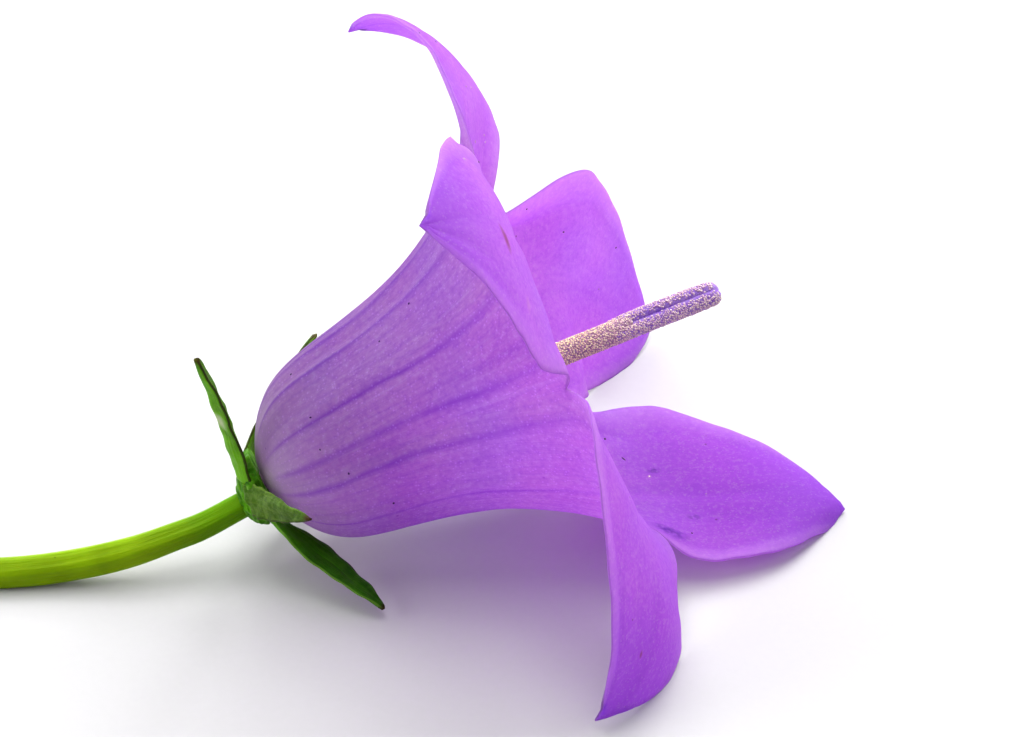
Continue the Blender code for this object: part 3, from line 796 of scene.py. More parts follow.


# The colours of one side of a petal: its plain tone, its deeper and cooler patches, its veins
# and pale streaks, the foot of the bell, the margin and the tip of the lobes; and how much its
# veins, its margins and the painted shade of the lower lobes, a deeper violet, show
PetalLook = namedtuple(
    "PetalLook", "flat deep cool vein streak foot margin tip vein_share margin_share rich_share")
PETAL_OUTSIDE = PetalLook(
    flat="#b098a6", deep="#a2799f", cool="#988fb2", vein="#603c95", streak="#c5cdc2",
    foot="#afc69b", margin="#b478dc", tip="#7f5caa",
    vein_share=0.9, margin_share=0.7, rich_share=0.0)
PETAL_INSIDE = PetalLook(
    flat="#df90fe", deep="#cf73fa", cool="#c488ff", vein="#a756ea", streak="#edc6ff",
    foot="#dcdaea", margin="#a680d8", tip="#a468f0",
    vein_share=0.3, margin_share=0.22, rich_share=0.85)
LIVING_SKIN = {
    "Roughness": 0.50,
    "Specular IOR Level": 0.12,
    "Sheen Weight": 0.08,
    "Sheen Roughness": 0.45,
    "Sheen Tint": linear("#dcaaff"),
}


def petal_tissue(add, solid, look):
    """Thin living petal: violet sap under a skin of domed cells, which lets light through."""
    chart = add(UV_MAP, uv_map="petal")
    places = add(SEPARATE, [chart])
    along = places.outputs["Y"]

    # Place across a lobe from -1 to 1, and the distance from its midrib. The midrib runs a
    # little aside of the middle on the bell, and every vein wanders
    across = add(MATH, [places], operation="FRACT")
    across = add(MATH, (across, 2.0, -1.0), operation="MULTIPLY_ADD")
    from_middle = add(MATH, [across], operation="ABSOLUTE")
    aside = add(RAMP, [along], stops=[(0.45, MIDRIB_SHIFT), (0.70, 0.0)])
    near_middle = add(RAMP, [from_middle], stops=rise(0.5, 0.1))
    aside = add(MATH, (aside, near_middle), operation="MULTIPLY")
    wander = drawn_out(add, chart, (2.5, 6.0), detail=2.0)
    wander = add(MATH, (wander, 0.16, -0.08), operation="MULTIPLY_ADD")
    off_midrib = add(MATH, (across, aside), operation="SUBTRACT")
    off_midrib = add(MATH, (off_midrib, wander), operation="ADD")
    off_midrib = add(MATH, [off_midrib], operation="ABSOLUTE")

    # Main veins, strongest on the bell and fading out along the lobes
    veins = add(RAMP, [off_midrib], stops=vein_stops())
    fading = [(0.015, 0.1), (0.06, 0.9), (0.36, 1.0), (0.55, 0.45), (0.75, 0.25), (1.0, 0.5)]
    veins = add(MATH, (veins, add(RAMP, [along], stops=fading)), operation="MULTIPLY")
    uneven = add(RAMP, [drawn_out(add, chart, (4.0, 9.0))], stops=[(0.30, 0.6), (0.58, 1.0)])
    veins = add(MATH, (veins, uneven), operation="MULTIPLY")

    # Thin branches that lean away from the midrib, and dark and pale streaks along the bell
    lean = add(MATH, (off_midrib, 1.3, along), operation="MULTIPLY_ADD")
    leaning = add(COMBINE, (places, lean))
    branches = drawn_out(add, leaning, (16.0, 12.0), detail=2.0, distortion=0.8)
    branches = add(RAMP, [branches], stops=[(0.465, 0.0), (0.50, 1.0), (0.535, 0.0)])
    streaks = drawn_out(add, chart, (34.0, 3.0), detail=4.0, roughness=0.6, distortion=0.4)

    # Domed cells. A few are painted pale on their domes as painted glints, and the sap is mottled
    # between them
    cells = add(CELLS, {"Vector": solid, "Scale": 1.0 / (CELL_WIDTH * MM)})
    domes = add(RAMP, [cells], stops=rise(0.65, 0.0))
    pale_cells = add(SEPARATE, [cells.outputs["Color"]])
    pale_cells = add(RAMP, [pale_cells], stops=rise(0.72, 0.95))
    painted_glints = add(MATH, (domes, pale_cells), operation="MULTIPLY")
    mottle = add(NOISE, {
        "Vector": solid, "Scale": 1.0 / (MOTTLE_SIZE * MM), "Detail": 3.0, "Roughness": 0.7,
    })

    # The margin of a lobe: a paler band with a thin rim in its own tone, as is the small point
    free = add(RAMP, [along], stops=rise(0.60, 0.66))
    band = add(RAMP, [from_middle], stops=rise(0.72, 0.97))
    band = add(MATH, (free, band), operation="MULTIPLY")
    rim = add(RAMP, [from_middle], stops=rise(0.990, 0.997))
    rim = add(MATH, (free, rim), operation="MULTIPLY")
    point = add(RAMP, [along], stops=rise(0.982, 0.996))
    rim = add(MATH, (rim, point), operation="MAXIMUM")

    # Bruises with clouded edges
    clouded = clouds(add, solid, 0.4, 0.35, 0.60)
    bruises = add(MATH, (petal_marks(add, chart, STAINS), clouded), operation="MULTIPLY")

    foot = add(RAMP, [along], stops=[(0.0, 1.0), (0.03, 0.65), (0.10, 0.25), (0.22, 0.0)])
    colour = layered(add, look.flat, (
        (clouds(add, solid, 4.5, 0.36, 0.64), 0.80, look.deep),
        (clouds(add, solid, 7.0, 0.44, 0.66, detail=2.0), 0.45, look.cool),
        # painted shade: the lower lobes in a deeper violet, where less light reaches them
        (spots(add, chart, SHADED_LOWER_LOBES), look.rich_share, "#cb5cff"),
        ((mottle, 0.50, 0.34), 0.34, look.vein),
        ((mottle, 0.52, 0.68), 0.34, look.streak),
        ((streaks, 0.56, 0.72), 0.35 * look.vein_share, look.streak),
        ((streaks, 0.46, 0.30), 0.25 * look.vein_share, look.vein),
        (branches, 0.30 * look.vein_share, look.vein),
        (foot, 1.0, look.foot),
        ((along, 0.80, 0.98), 0.5, look.tip),
        (veins, look.vein_share, look.vein),
        ((along, 0.03, 0.004), 0.6, "#93a06a"),
        # painted glints: a few domed cells painted pale
        (painted_glints, 0.42, "#f3dcff"),
        (band, 0.35, look.streak),
        (rim, look.margin_share, look.margin),
        (bruises, 0.95, "#6a30b4"),
        (petal_marks(add, chart, BROWN_SPOTS), 0.85, "#9a5a3c"),
        (petal_marks(add, chart, PALE_SPOTS), 0.5, "#e6b4e6"),
        (specks(add, solid, 2.1, 0.09), 0.7, "#4a1c6e"),
    ))

    height = add(MATH, (streaks, 1.6), operation="MULTIPLY")
    height = add(MATH, (domes, 0.4, height), operation="MULTIPLY_ADD")
    height = add(MATH, (veins, 0.8, height), operation="MULTIPLY_ADD")
    skin = skinned(add, colour, height, LIVING_SKIN, strength=0.5, depth=0.03)
    sap = layered(add, colour, [(1.0, SAP_PALENESS, PALE_SAP)])
    glow = add("ShaderNodeBsdfTranslucent", {"Color": sap})
    return add("ShaderNodeMixShader", (CLEARNESS, skin, glow))


# Green parts: a soft, barely shiny skin over tissue that lets a little light in
GREEN_SKIN = {
    "Specular IOR Level": 0.05,
    "Subsurface Weight": 0.12,
    "Subsurface Radius": (0.6, 1.0, 0.1),
    "Subsurface Scale": 0.4 * MM,
}

# A sepal's colours: darker and lighter green, its lines, its foot, its margin and its tip; and
# how much of it is greyed or papery
SepalLook = namedtuple("SepalLook", "dark light line foot margin tip greyed papery")
DARK_SEPAL = SepalLook(
    "#194902", "#2b6602", "#3b8006", "#499506", "#2a1610", "#38250e", 0.08, 0.0)
# Brighter greens for the upper sepals: their own lighter green, raised further as painted light
# that comes through them from behind
BACKLIT_SEPAL = SepalLook(
    "#3a7008", "#5a9a12", "#74aa20", "#66a414", "#2c1a14", "#4a3a1c", 0.12, 0.0)
WITHERED_SEPAL = SepalLook(
    "#244206", "#37570a", "#4f6a1a", "#355c08", "#374016", "#371e11", 0.45, 0.0)


def sepal_tissue(add, solid, look):
    """Green sepal with a lighter midrib, a thin purplish margin on one side and a brown tip.

    A greyed one is faded in patches, and a papery one has a bleached patch half way along.
    """
    chart = add(UV_MAP, uv_map="skin")
    places = add(SEPARATE, [chart])
    along = places.outputs["Y"]
    fine = add(NOISE, {"Vector": solid, "Scale": 1.0 / (0.12 * MM), "Detail": 3.0})
    lines = add(RAMP, [drawn_out(add, chart, (16.0, 3.0))], stops=rise(0.40, 0.66))
    midrib = add(MATH, (places, 0.5), operation="SUBTRACT")
    midrib = add(MATH, [midrib], operation="ABSOLUTE")
    ragged = add(NOISE, {"Vector": solid, "Scale": 1.0 / (0.5 * MM), "Detail": 3.0})
    ragged = add(MATH, (ragged, 0.06, places), operation="MULTIPLY_ADD")
    pale_rim = 0.35 * (1.0 - look.greyed)
    colour = layered(add, look.dark, (
        (clouds(add, solid, 0.8, 0.34, 0.68, detail=4.0, roughness=0.6), 1.0, look.light),
        (lines, 0.35, look.line),
        ((along, 0.40, 0.05), 0.85, look.foot),
        ((midrib, 0.06, 0.0), 0.5, look.line),
        (clouds(add, solid, 0.5, 0.44, 0.60, detail=4.0, roughness=0.7), look.greyed, "#66803c"),
        (spot(add, chart, (0.66, 0.49), (0.30, 0.07)), look.papery, "#a3ab88"),
        ((ragged, 0.985, 1.0), 0.85, look.margin),
        ((ragged, 0.075, 0.045), pale_rim, "#86a648"),
        ((along, 0.945, 0.985), 0.9, look.tip),
    ))
    height = add(MATH, (lines, 1.6, fine), operation="MULTIPLY_ADD")
    thin = {**GREEN_SKIN, "Roughness": 0.50, "Subsurface Weight": 0.45}
    return skinned(add, colour, height, thin, strength=0.6, depth=0.03)


def ovary_tissue(add, solid):
    """Bright green ovary, crumpled, with greyish ridges, painted shade in the hollows of its folds,
    and a few brown specks.
    """
    folds = add(NOISE, {
        "Vector": solid, "Scale": 1.0 / (0.45 * MM), "Detail": 5.0, "Roughness": 0.65,
        "Distortion": 0.6,
    })
    colour = layered(add, "#2f6408", (
        (clouds(add, solid, 0.9, 0.35, 0.65), 1.0, "#4f8c0e"),
        ((folds, 0.50, 0.66), 0.40, "#7c9a50"),
        # painted shade: darker green in the hollows of the folds
        ((folds, 0.46, 0.36), 0.60, "#1f4406"),
        (specks(add, solid, 0.8, 0.09), 0.7, "#4a2c1c"),
    ))
    dull = {**GREEN_SKIN, "Roughness": 0.55}
    return skinned(add, colour, folds, dull, strength=0.6, depth=0.12)


def stem_tissue(add, solid):
    """Yellow-green stalk with fine lengthwise lines, deeper green towards the bloom."""
    chart = add(UV_MAP, uv_map="skin")
    along = add(SEPARATE, [chart]).outputs["Y"]
    lines = add(RAMP, [drawn_out(add, chart, (26.0, 7.0), detail=4.0)], stops=rise(0.36, 0.66))
    deeper = add(RAMP, [along], stops=[(0.0, 1.0), (0.10, 0.85), (0.32, 0.0)])
    colour = layered(add, "#709002", (
        (clouds(add, solid, 2.5, 0.36, 0.64), 1.0, "#82a404"),
        (lines, 0.40, "#84a40a"),
        (deeper, 0.75, "#528a03"),
        (specks(add, solid, 1.6, 0.08), 0.6, "#3d4a10"),
    ))
    fine = add(NOISE, {"Vector": solid, "Scale": 1.0 / (0.10 * MM), "Detail": 3.0})
    height = add(MATH, (lines, 2.4, fine), operation="MULTIPLY_ADD")
    juicy = {
        **GREEN_SKIN, "Roughness": 0.45, "Subsurface Weight": 0.6, "Subsurface Scale": 0.9 * MM,
    }
    return skinned(add, colour, height, juicy, strength=0.6, depth=0.02)


def cut_face(add, solid):
    """The cut end of the stalk: pale moist pith, browned by the knife."""
    pores = add(CELLS, {"Vector": solid, "Scale": 1.0 / (0.12 * MM)})
    pores = add(RAMP, [pores], stops=rise(0.10, 0.55))
    browned = clouds(add, solid, 0.5, 0.4, 0.62)
    colour = layered(add, "#93a95a", ((pores, 1.0, "#cfdca0"), (browned, 0.4, "#8f8a4c")))
    moist = {**GREEN_SKIN, "Roughness": 0.45}
    return skinned(add, colour, pores, moist, strength=0.6, depth=0.06)


def dusty_tissue(add, solid, dark, light, crease):
    """Soft dull tissue in two tones with finely creased skin, its creases in painted shade, for the
    style and the stamens.
    """
    fine = add(NOISE, {"Vector": solid, "Scale": 1.0 / (0.08 * MM), "Detail": 3.0})
    cover = clouds(add, solid, 0.35, 0.34, 0.66, detail=4.0, roughness=0.6)
    # painted shade: the crease tone darkens the low parts of the fine relief
    colour = layered(add, dark, ((cover, 1.0, light), ((fine, 0.50, 0.30), 0.4, crease)))
    dull = {**GREEN_SKIN, "Roughness": 0.75}
    return skinned(add, colour, fine, dull, strength=0.6, depth=0.05)


# Where along the bloom's length the pollen turns from straw-coloured to violet grey, and the
# tones of its grains from dark to light
POLLEN_CHANGE = (19.6 * MM, 23.4 * MM)
GRAIN_TONES = (0.36, 0.50, 0.62)
STRAW_POLLEN = ("#bc94a2", "#ecc9ab", "#fffec0")
GREY_POLLEN = ("#b88fbc", "#dabcc9", "#f9e8da")


def pollen_grains(add, solid):
    """Dry pollen, straw-coloured near the mouth of the bell and violet grey towards the tip."""
    each = add(NOISE, {"Vector": solid, "Scale": 1.0 / (0.10 * MM), "Detail": 1.0})
    straw, grey = [
        add(RAMP, [each], stops=list(zip(GRAIN_TONES, map(linear, tones))))
        for tones in (STRAW_POLLEN, GREY_POLLEN)
    ]
    start, end = POLLEN_CHANGE
    outwards = add(SEPARATE, [solid])
    greyed = add("ShaderNodeMapRange", {"Value": outwards, "From Min": start, "From Max": end})
    colour = layered(add, straw, [(greyed, 1.0, grey)])
    dry = {"Roughness": 0.8, "Specular IOR Level": 0.2}
    return skinned(add, colour, each, dry, strength=0.3, depth=0.02)


def crumb_matter(add, solid, dark, light):
    """Dull matter for the small crumbs on the petals."""
    cover = clouds(add, solid, 0.2, 0.4, 0.6, detail=2.0)
    colour = layered(add, dark, [(cover, 1.0, light)])
    return skinned(add, colour, cover, {"Roughness": 0.8}, strength=0.4, depth=0.03)


def smooth_paper(add, solid):
    """Smooth white writing paper: bright, matt, with a faint cloudy grain of fibres."""
    grain = clouds(add, solid, 0.5, 0.3, 0.7, detail=5.0, roughness=0.65)
    colour = layered(add, PAPER_TONES[0], [(grain, 1.0, PAPER_TONES[1])])
    matt = {"Roughness": 0.9, "Specular IOR Level": 0.1}
    return skinned(add, colour, grain, matt, strength=0.1, depth=0.02)


def thicken(piece, wall, inner_slot=0):
    """Turn a surface into a wall, as thick at each point as the share that is kept there."""
    shares = [share.value for share in piece.data.attributes["wall_share"].data]
    group = piece.vertex_groups.new(name="wall")
    for number, share in enumerate(shares):
        group.add([number], share, "REPLACE")
    solid = piece.modifiers.new("wall", "SOLIDIFY")
    solid.thickness = wall * MM
    solid.offset = 0.0
    solid.vertex_group = "wall"
    solid.material_offset = inner_slot
    settle(piece)
    press_on_surface(piece)


def make_corolla():
    outside = new_surface("petal_outside", petal_tissue, PETAL_OUTSIDE)
    inside = new_surface("petal_inside", petal_tissue, PETAL_INSIDE)
    corolla = add_piece("corolla_petals", petal_surface(), LYING, outside, inside)
    thicken(corolla, PETAL_WALL, inner_slot=1)
    hand_over(corolla, "petals", "corolla")
    return corolla


# Crumbs on the petals: lobe, place across it and along the petal, whether it lies on the inner
# side, and its length and width in millimetres
DARK_CRUMBS = [
    (0, 0.70, 0.599, True, 0.16, 0.14), (0, 0.45, 0.612, True, 0.34, 0.09),
    (3, -0.89, 0.659, True, 0.26, 0.13), (4, -0.09, 0.199, False, 0.14, 0.12),
    (4, -0.86, 0.154, False, 0.14, 0.11), (3, 0.06, 0.133, False, 0.13, 0.10),
    (2, 0.92, 0.128, False, 0.12, 0.10), (1, 0.51, 0.697, True, 0.13, 0.10),
    (1, 0.92, 0.655, True, 0.12, 0.10), (3, -0.45, 0.300, False, 0.12, 0.10),
    (2, 0.16, 0.809, True, 0.16, 0.12), (2, 0.93, 0.829, True, 0.12, 0.10),
    (1, 0.62, 0.853, True, 0.16, 0.10), (3, -0.65, 0.381, False, 0.14, 0.12),
    (3, 0.61, 0.125, False, 0.12, 0.10), (0, -0.55, 0.690, True, 0.12, 0.10),
]
PALE_CRUMBS = [
    (0, 0.21, 0.645, True, 0.22, 0.12), (3, -0.67, 0.809, True, 0.20, 0.14),
    (2, -0.20, 0.733, True, 0.20, 0.10), (2, -0.35, 0.734, True, 0.22, 0.10),
    (2, -0.68, 0.676, True, 0.20, 0.11), (2, -0.72, 0.671, True, 0.16, 0.10),
    (2, -0.35, 0.640, True, 0.20, 0.10), (1, 0.1, 0.80, True, 0.10, 0.08),
    (0, 0.0, 0.74, True, 0.10, 0.08),
]

# Each crumb is turned from the one before it, and is half as high as it is wide
CRUMB_TURN = 1.3
CRUMB_FLATNESS = 0.5


def make_crumbs(corolla):
    """Specks of dust and fallen pollen that lie on the petals."""
    chart = corolla.data.uv_layers["petal"].data
    corners = corolla.data.vertices
    sides = ([], [])
    for face in corolla.data.polygons:
        sides[face.material_index].extend(face.loop_indices)
    dark = new_surface("dark_crumb", crumb_matter, "#220a30", "#43205c")
    pale = new_surface("pale_crumb", crumb_matter, "#c09ac0", "#d8b8c0")
    batches = (("dark_crumbs", DARK_CRUMBS, dark), ("pale_crumbs", PALE_CRUMBS, pale))
    for name, crumbs, matter in batches:
        body = bmesh.new()
        for number, (lobe, across, along, inner, length, width) in enumerate(crumbs):
            aim = Vector((lobe + 0.5 + 0.5 * across, along))
            nearest = min(sides[inner], key=lambda loop: (chart[loop].uv - aim).length_squared)
            corner = corners[corolla.data.loops[nearest].vertex_index]
            turn = corner.normal.to_track_quat("Z", "Y").to_matrix().to_4x4()
            place = Matrix.Translation(corner.co) @ turn
            place @= Matrix.Rotation(CRUMB_TURN * number, 4, "Z")
            size = Vector((length, width, CRUMB_FLATNESS * width)) * MM
            place @= Matrix.Diagonal((*size, 1.0))
            bmesh.ops.create_icosphere(body, subdivisions=2, radius=0.5, matrix=place)
        piece = add_piece(name, body, Matrix.Identity(4), matter)
        hand_over(piece, "petals")


def scatter_group():
    """Geometry nodes that set small bodies on a surface, more of them where its dusting is high."""
    tree = bpy.data.node_groups.new("scatter", "GeometryNodeTree")
    sockets = {
        "Surface": "Geometry", "Spacing": "Float", "Width": "Float", "Length": "Float",
        "Seed": "Int", "Skin": "Material",
    }
    for name, kind in sockets.items():
        tree.interface.new_socket(name, in_out="INPUT", socket_type="NodeSocket" + kind)
    tree.interface.new_socket("Bodies", in_out="OUTPUT", socket_type="NodeSocketGeometry")
    add = functools.partial(add_node, tree)
    given = add("NodeGroupInput").outputs
    dusting = add("GeometryNodeInputNamedAttribute", {"Name": "dusting"}, data_type="FLOAT")
    points = add("GeometryNodeDistributePointsOnFaces", {
        "Mesh": given["Surface"], "Distance Min": given["Spacing"], "Seed": given["Seed"],
        "Density Max": SCATTER_DENSITY, "Density Factor": dusting,
    }, distribute_method="POISSON")
    body = add("GeometryNodeMeshIcoSphere", {"Radius": 0.5, "Subdivisions": 1})
    shape = add(COMBINE, (given["Width"], given["Width"], given["Length"]))
    smallest, largest = SCATTER_SIZES
    sizes = {2: smallest, 3: largest, "Seed": given["Seed"]}
    sizes = add("FunctionNodeRandomValue", sizes, data_type="FLOAT")
    scale = add(VECTOR_MATH, {0: shape, "Scale": sizes}, operation="SCALE")
    bodies = add("GeometryNodeInstanceOnPoints", {
        "Points": points, "Instance": body, "Rotation": points.outputs["Rotation"],
        "Scale": scale,
    })
    real = add("GeometryNodeRealizeInstances", {"Geometry": bodies})
    skin = add("GeometryNodeSetMaterial", {"Geometry": real, "Material": given["Skin"]})
    add("NodeGroupOutput", {"Bodies": skin})
    return tree


def dust(name, surface, dusting, group, settings, slot):
    """Scatter small bodies over a copy of a piece; dusting(place) is how many, from 0 to 1."""
    piece = bpy.data.objects.new(name, surface.data.copy())
    bpy.context.scene.collection.objects.link(piece)
    shares = piece.data.attributes.new("dusting", "FLOAT", "POINT").data
    for corner, share in zip(piece.data.vertices, shares):
        share.value = dusting(corner.co)
    scatter = piece.modifiers.new("scatter", "NODES")
    scatter.node_group = group
    for socket in group.interface.items_tree:
        if socket.name in settings:
            scatter[socket.identifier] = settings[socket.name]
    settle(piece)
    hand_over(piece, slot)


def ovary_body():
    """The swollen green foot of the bloom, ribbed lengthwise and crumpled."""
    profile = swelling(1.0, [radius for height, radius in OVARY_PROFILE])
    heights = swelling(1.0, [height for height, radius in OVARY_PROFILE])
    path = []
    for row in range(OVARY_ROWS):
        height = heights(row / (OVARY_ROWS - 1))
        share = (height - heights(0.0)) / (heights(1.0) - heights(0.0))
        path.append(Vector((OVARY_LEAN * (1.0 - smooth(share)), 0.0, height)))

    def radius(share, angle):
        rib = 1.0 + OVARY_RIB * math.cos(OVARY_RIBS * angle)
        around, along = OVARY_PATCHES
        patch = Vector((around * math.cos(angle), around * math.sin(angle), along * share))
        return profile(share) * rib + OVARY_CRUMPLE * noise.noise(patch)
    return grown_body(path, radius, OVARY_SIDES, facing=Vector((0.0, 0.0, 1.0)))


def sepal_surface(sepal, number):
    """One narrow pointed sepal, folded along its midrib, with small teeth on its margins."""
    mesh = bmesh.new()
    chart = mesh.loops.layers.uv.new("skin")
    wall = mesh.verts.layers.float.new("wall_share")
    root, mid, tip = [
        Vector((radius, 0.0, height)) for radius, height in (SEPAL_ROOT, sepal.mid, sepal.tip)
    ]
    rounding, drop = SEPAL_CREASE
    patches = CRUMPLE_PATCHES
    steps = range(SEPAL_COLUMN_COUNT + 1)
    columns = [2.0 * column / SEPAL_COLUMN_COUNT - 1.0 for column in steps]
    rows = []
    for row in range(SEPAL_ROWS):
        share = row / SEPAL_ROWS
        place = root * (1.0 - share) ** 2 + mid * 2.0 * share * (1.0 - share) + tip * share ** 2
        heading = ((mid - root) * (1.0 - share) + (tip - mid) * share).normalized()
        turned = sepal.root_bearing + (sepal.tip_bearing - sepal.root_bearing) * smooth(share)
        outward = Vector((math.cos(math.radians(turned)), math.sin(math.radians(turned)), 0.0))
        sideways = Vector((-outward.y, outward.x, 0.0))
        centre = outward * place.x + Vector((0.0, 0.0, place.z))
        inward = Vector((0.0, 0.0, heading.x)) - outward * heading.z
        turn = math.radians(sepal.turn) * smooth(share / SEPAL_TURN_RUN)
        broad = sideways * math.cos(turn) + inward * math.sin(turn)
        deep = inward * math.cos(turn) - sideways * math.sin(turn)
        width = sepal.half_width * (1.0 - share) ** SEPAL_TAPER * (1.0 + SEPAL_BELLY * share)
        width *= SEPAL_NECK + (1.0 - SEPAL_NECK) * smooth(share / SEPAL_NECK_RUN)
        points = []
        for across in columns:
            teeth = math.sin(SEPAL_TEETH * share + 2.0 * number)
            teeth = 1.0 + SEPAL_TOOTH * abs(across) ** 8 * teeth
            fold = sepal.fold * (math.sqrt(across ** 2 + rounding) - drop) * width
            patch = (patches[0] * across * width, patches[1] * place.x, 5.0 * number)
            crumpled = noise.noise(Vector(patch))
            depth = fold + sepal.crumple * crumpled * smooth(share / CRUMPLE_RUN)
            point = mesh.verts.new(centre + broad * across * width * teeth + deep * depth)
            point[wall] = 1.0 - (1.0 - SEPAL_RIM) * across ** 4
            points.append(point)
        rows.append(points)
    for place, pair in enumerate(zip(rows, rows[1:])):
        span = (place / SEPAL_ROWS, (place + 1) / SEPAL_ROWS)
        add_band(mesh, chart, pair, span, SEPAL_COLUMN_COUNT)
    bearing = math.radians(sepal.tip_bearing)
    end = mesh.verts.new((tip.x * math.cos(bearing), tip.x * math.sin(bearing), tip.z))
    end[wall] = SEPAL_RIM
    for near, far in zip(rows[-1], rows[-1][1:]):
        add_face(mesh, chart, (near, far, end), [(0.5, 1.0)] * 3)
    return mesh


def make_calyx():
    # The folded and papery sepals take the brighter greens, which hold painted light from behind
    looks = {
        "dark": DARK_SEPAL, "folded": BACKLIT_SEPAL, "papery": BACKLIT_SEPAL._replace(papery=0.9),
        "withered": WITHERED_SEPAL,
    }
    skins = {
        name: new_surface(f"{name}_sepal_skin", sepal_tissue, look) for name, look in looks.items()
    }
    ovary = add_piece("ovary", ovary_body(), LYING, new_surface("ovary_skin", ovary_tissue))
    hand_over(ovary, "sepals", "calyx")
    for number, (sepal, skin) in enumerate(zip(SEPALS, SEPAL_SKINS)):
        name = f"sepal_{number + 1}"
        blade = add_piece(name, sepal_surface(sepal, number), LYING, skins[skin])
        thicken(blade, SEPAL_WALL)
        hand_over(blade, "sepals", "calyx")


def make_stem():
    """The ribbed flower stalk, down from the ovary and along the surface to its cut."""
    lying_height = STEM_RADIUS - STEM_SINK - BELL_FOOT.z
    points = [Vector(point) for point in STEM_RISING]
    points += [Vector((x, y, lying_height)) for x, y in STEM_LYING]
    size = swelling(STEM_RADIUS, STEM_SWELL)
    section = ribbed(size, STEM_RIBS, STEM_RIB, STEM_FINE_RIBS, STEM_FINE_RIB)
    body = grown_body(smooth_line(points, STEM_RINGS), section, STEM_SIDES)
    heading = (points[-1] - points[-2]).normalized()
    slanted = Matrix.Rotation(CUT_SLANT, 3, "Z") @ heading
    everything = body.verts[:] + body.edges[:] + body.faces[:]
    place = points[-1] - heading * CUT_BACK * STEM_RADIUS
    cut = bmesh.ops.bisect_plane(
        body, geom=everything, plane_co=place, plane_no=slanted, clear_outer=True)
    rim = [edge for edge in cut["geom_cut"] if isinstance(edge, bmesh.types.BMEdge)]
    for face in bmesh.ops.holes_fill(body, edges=rim)["faces"]:
        face.material_index = 1
    skin = new_surface("stem_skin", stem_tissue)
    pith = new_surface("stem_cut", cut_face)
    stem = add_piece("stem", body, UPRIGHT, skin, pith)
    press_on_surface(stem)
    hand_over(stem, "stem", "pedicel")


def style_point(height, across=0.0, angle=0.0):
    """A point beside the style's sagging centre line."""
    share = (height - STYLE_FOOT) / (STYLE_LENGTH + STIGMA_LENGTH)
    sag = STYLE_SAG * share ** STYLE_SAG_POWER
    return Vector((sag + across * math.cos(angle), across * math.sin(angle), height))


def stigma_body(angle):
    """One stigma lobe, rooted in the end of the style and closing on its neighbours."""
    length = STIGMA_ROOT + STIGMA_LENGTH
    path = []
    for step in range(STIGMA_RINGS):
        share = step / (STIGMA_RINGS - 1)
        height = STYLE_FOOT + STYLE_LENGTH - STIGMA_ROOT + length * share
        path.append(style_point(height, STIGMA_OFFSET * (1.0 - STIGMA_CLOSING * share ** 4), angle))
    swell = swelling(STIGMA_RADIUS, STIGMA_SWELL)

    def radius(share, angle):
        """Swelling a little towards the tip, which is domed."""
        past = max((share - 1.0 + STIGMA_ROUND_END) / STIGMA_ROUND_END, 0.0)
        return swell(share) * math.sqrt(max(1.0 - past ** 2, STIGMA_BLUNT))
    return grown_body(path, radius, STIGMA_SIDES)


def make_style():
    # The third tone of each tissue is the painted shade in its creases
    mauve = new_surface("style_skin", dusty_tissue, "#a07c98", "#bea0ac", "#7c5c8c")
    violet = new_surface("stigma_skin", dusty_tissue, "#9068c4", "#ac8cd0", "#744cb0")
    pollen = new_surface("pollen", pollen_grains)
    group = scatter_group()
    heights = [STYLE_FOOT + STYLE_LENGTH * step / (STYLE_RINGS - 1) for step in range(STYLE_RINGS)]
    section = ribbed(swelling(STYLE_RADIUS, STYLE_SWELL), STIGMA_COUNT, STYLE_RIB)
    rod = grown_body([style_point(height) for height in heights], section, STYLE_SIDES)
    style = add_piece("style_rod", rod, LYING, mauve)
    hand_over(style, "style", "style")
    parting = STYLE_FOOT + STYLE_LENGTH

    def rod_dusting(place):
        """Thick from inside the bell's mouth up to where the stigma lobes part."""
        height = (STANDING @ place).z
        start = smooth((height - POLLEN_START) / POLLEN_RUN)
        end = 1.0 - smooth((height - parting + POLLEN_END_RUN) / POLLEN_END_RUN)
        return start * end
    dust("rod_pollen", style, rod_dusting, group, {**POLLEN, "Skin": pollen}, "style")
    for number in range(STIGMA_COUNT):
        angle = 2.0 * math.pi * number / STIGMA_COUNT + STIGMA_TURN
        outward = Vector((math.cos(angle), math.sin(angle), 0.0))
        lobe = add_piece(f"stigma_{number + 1}", stigma_body(angle), LYING, violet)
        hand_over(lobe, "style", "style")

        def lobe_dusting(place, outward=outward):
            """On the outer side only, and thinner towards the tip; the clefts stay bare."""
            at = STANDING @ place
            turned = (at - style_point(at.z)).dot(outward) / STIGMA_OFFSET - 1.0
            bare = smooth((turned - CLEFT_TURN[0]) / (CLEFT_TURN[1] - CLEFT_TURN[0]))
            parted = smooth((at.z - parting + PARTING_RUN) / PARTING_RUN)
            thinner = 1.0 - TIP_THINNING * smooth((at.z - STYLE_LENGTH) / STIGMA_LENGTH)
            return (1.0 - parted * (1.0 - bare)) * thinner
        settings = {**POLLEN, "Seed": POLLEN_SEEDS + number, "Skin": pollen}
        dust(f"stigma_pollen_{number + 1}", lobe, lobe_dusting, group, settings, "style")
    return group


def stamen_body(number):
    """One stamen: a broad foot, a thread and a withered anther, drifting to one side."""
    bearing = lobe_bearing(number) + HALF_SECTOR
    points = []
    for step, (radius, height) in enumerate(STAMEN_LINE):
        turned = bearing + STAMEN_DRIFT * step * math.sin(2.0 * number + 1.0)
        points.append(Vector((radius * math.cos(turned), radius * math.sin(turned), height)))
    section = ribbed(swelling(1.0, STAMEN_RADII), STAMEN_RIBS, STAMEN_RIB)
    return grown_body(smooth_line(points, STAMEN_RINGS), section, STAMEN_SIDES)


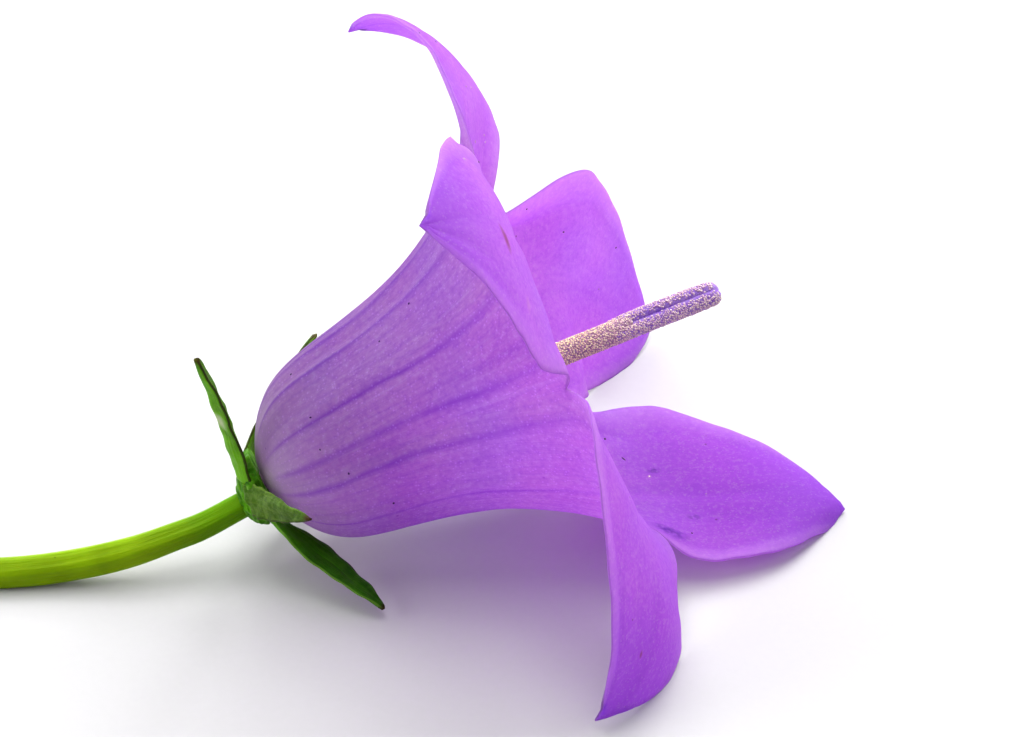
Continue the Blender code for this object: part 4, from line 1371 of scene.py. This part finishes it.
def make_stamens(group):
    # The third tone of each tissue is the painted shade in its creases
    straw = new_surface("stamen_skin", dusty_tissue, "#b59a72", "#ddcaa0", "#7d6446")
    white = new_surface("stamen_hair", dusty_tissue, "#d8d0bc", "#f0ead8", "#b8ac90")

    def foot_hairs(place):
        """Hairs grow on the broad feet of the stamens alone."""
        over_foot = (STANDING @ place).z - STAMEN_LINE[0][1]
        return 1.0 - smooth((over_foot - HAIR_START) / HAIR_FADE)
    bpy.ops.mesh.primitive_torus_add(
        major_radius=RING_RADIUS, minor_radius=RING_THICKNESS,
        major_segments=RING_SEGMENTS, minor_segments=RING_SIDES)
    ring = bpy.context.object
    ring.name = "stamen_ring"
    ring.data.transform(LYING @ Matrix.Translation((0.0, 0.0, RING_HEIGHT)))
    ring.data.materials.append(straw)
    ring.data.shade_smooth()
    hand_over(ring, "stamens", "stamens")
    for number in range(LOBE_COUNT):
        stamen = add_piece(f"stamen_{number + 1}", stamen_body(number), LYING, straw)
        hand_over(stamen, "stamens", "stamens")
        settings = {**HAIRS, "Seed": HAIR_SEEDS + number, "Skin": white}
        dust(f"stamen_hairs_{number + 1}", stamen, foot_hairs, group, settings, "stamens")


def make_floor():
    bpy.ops.mesh.primitive_plane_add(size=FLOOR_SIZE, location=(0.0, 0.0, -FLOOR_DROP * MM))
    floor = bpy.context.object
    floor.name = "paper"
    floor.data.materials.append(new_surface("white_paper", smooth_paper))


def make_camera():
    """The photograph's own angle, from above the near side."""
    data = bpy.data.cameras.new("camera")
    data.sensor_width = SENSOR_WIDTH
    data.lens = FOCAL_PIXELS * SENSOR_WIDTH / IMAGE_WIDTH
    data.clip_start = CAMERA_NEAR
    camera = bpy.data.objects.new("camera", data)
    camera.location = (BELL_FOOT + CAMERA_PLACE) * MM
    camera.rotation_euler = (math.pi / 2.0 - CAMERA_RISE, 0.0, CAMERA_TURN)
    bpy.context.scene.collection.objects.link(camera)
    bpy.context.scene.camera = camera


# Soft daylight. Each lamp stands round the bloom at an azimuth, from the right of the picture
# over its back, and at a rise, both in degrees; the last number is its power in watts. Its
# reach and size are in metres. A faint white surround lights what no lamp does
LIGHT_REACH = 0.40
LIGHT_SIZE = 0.24
LIGHTS = {
    "sky": (90, 90, 0.77),
    "window": (90, 15, 0.83),
    "window_top": (90, 60, 0.73),
    "window_right": (45, 40, 1.61),
    "window_left": (135, 40, 0.48),
    "left_wall": (180, 22, 1.14),
    "right_wall": (0, 20, 0.67),
    "front": (270, 45, 0.21),
}
SURROUND = 0.015


def make_lights():
    """Daylight from a broad window behind, brightest at its right, and from pale walls."""
    for name, (azimuth, rise, power) in LIGHTS.items():
        data = bpy.data.lights.new(name, "AREA")
        data.size = LIGHT_SIZE
        data.energy = power
        lamp = bpy.data.objects.new(name, data)
        turn = math.radians(azimuth)
        tilt = math.radians(rise)
        flat = math.cos(tilt)
        away = Vector((math.cos(turn) * flat, math.sin(turn) * flat, math.sin(tilt)))
        lamp.location = away * LIGHT_REACH
        lamp.rotation_euler = away.to_track_quat("Z", "Y").to_euler()
        bpy.context.scene.collection.objects.link(lamp)
    world = bpy.data.worlds.new("surround")
    world.use_nodes = True
    background = world.node_tree.nodes["Background"]
    background.inputs["Color"].default_value = (1.0, 1.0, 1.0, 1.0)
    background.inputs["Strength"].default_value = SURROUND
    bpy.context.scene.world = world
    bpy.context.scene.view_settings.view_transform = "Standard"


make_camera()
make_crumbs(make_corolla())
make_calyx()
make_stem()
make_stamens(make_style())
make_floor()
make_lights()
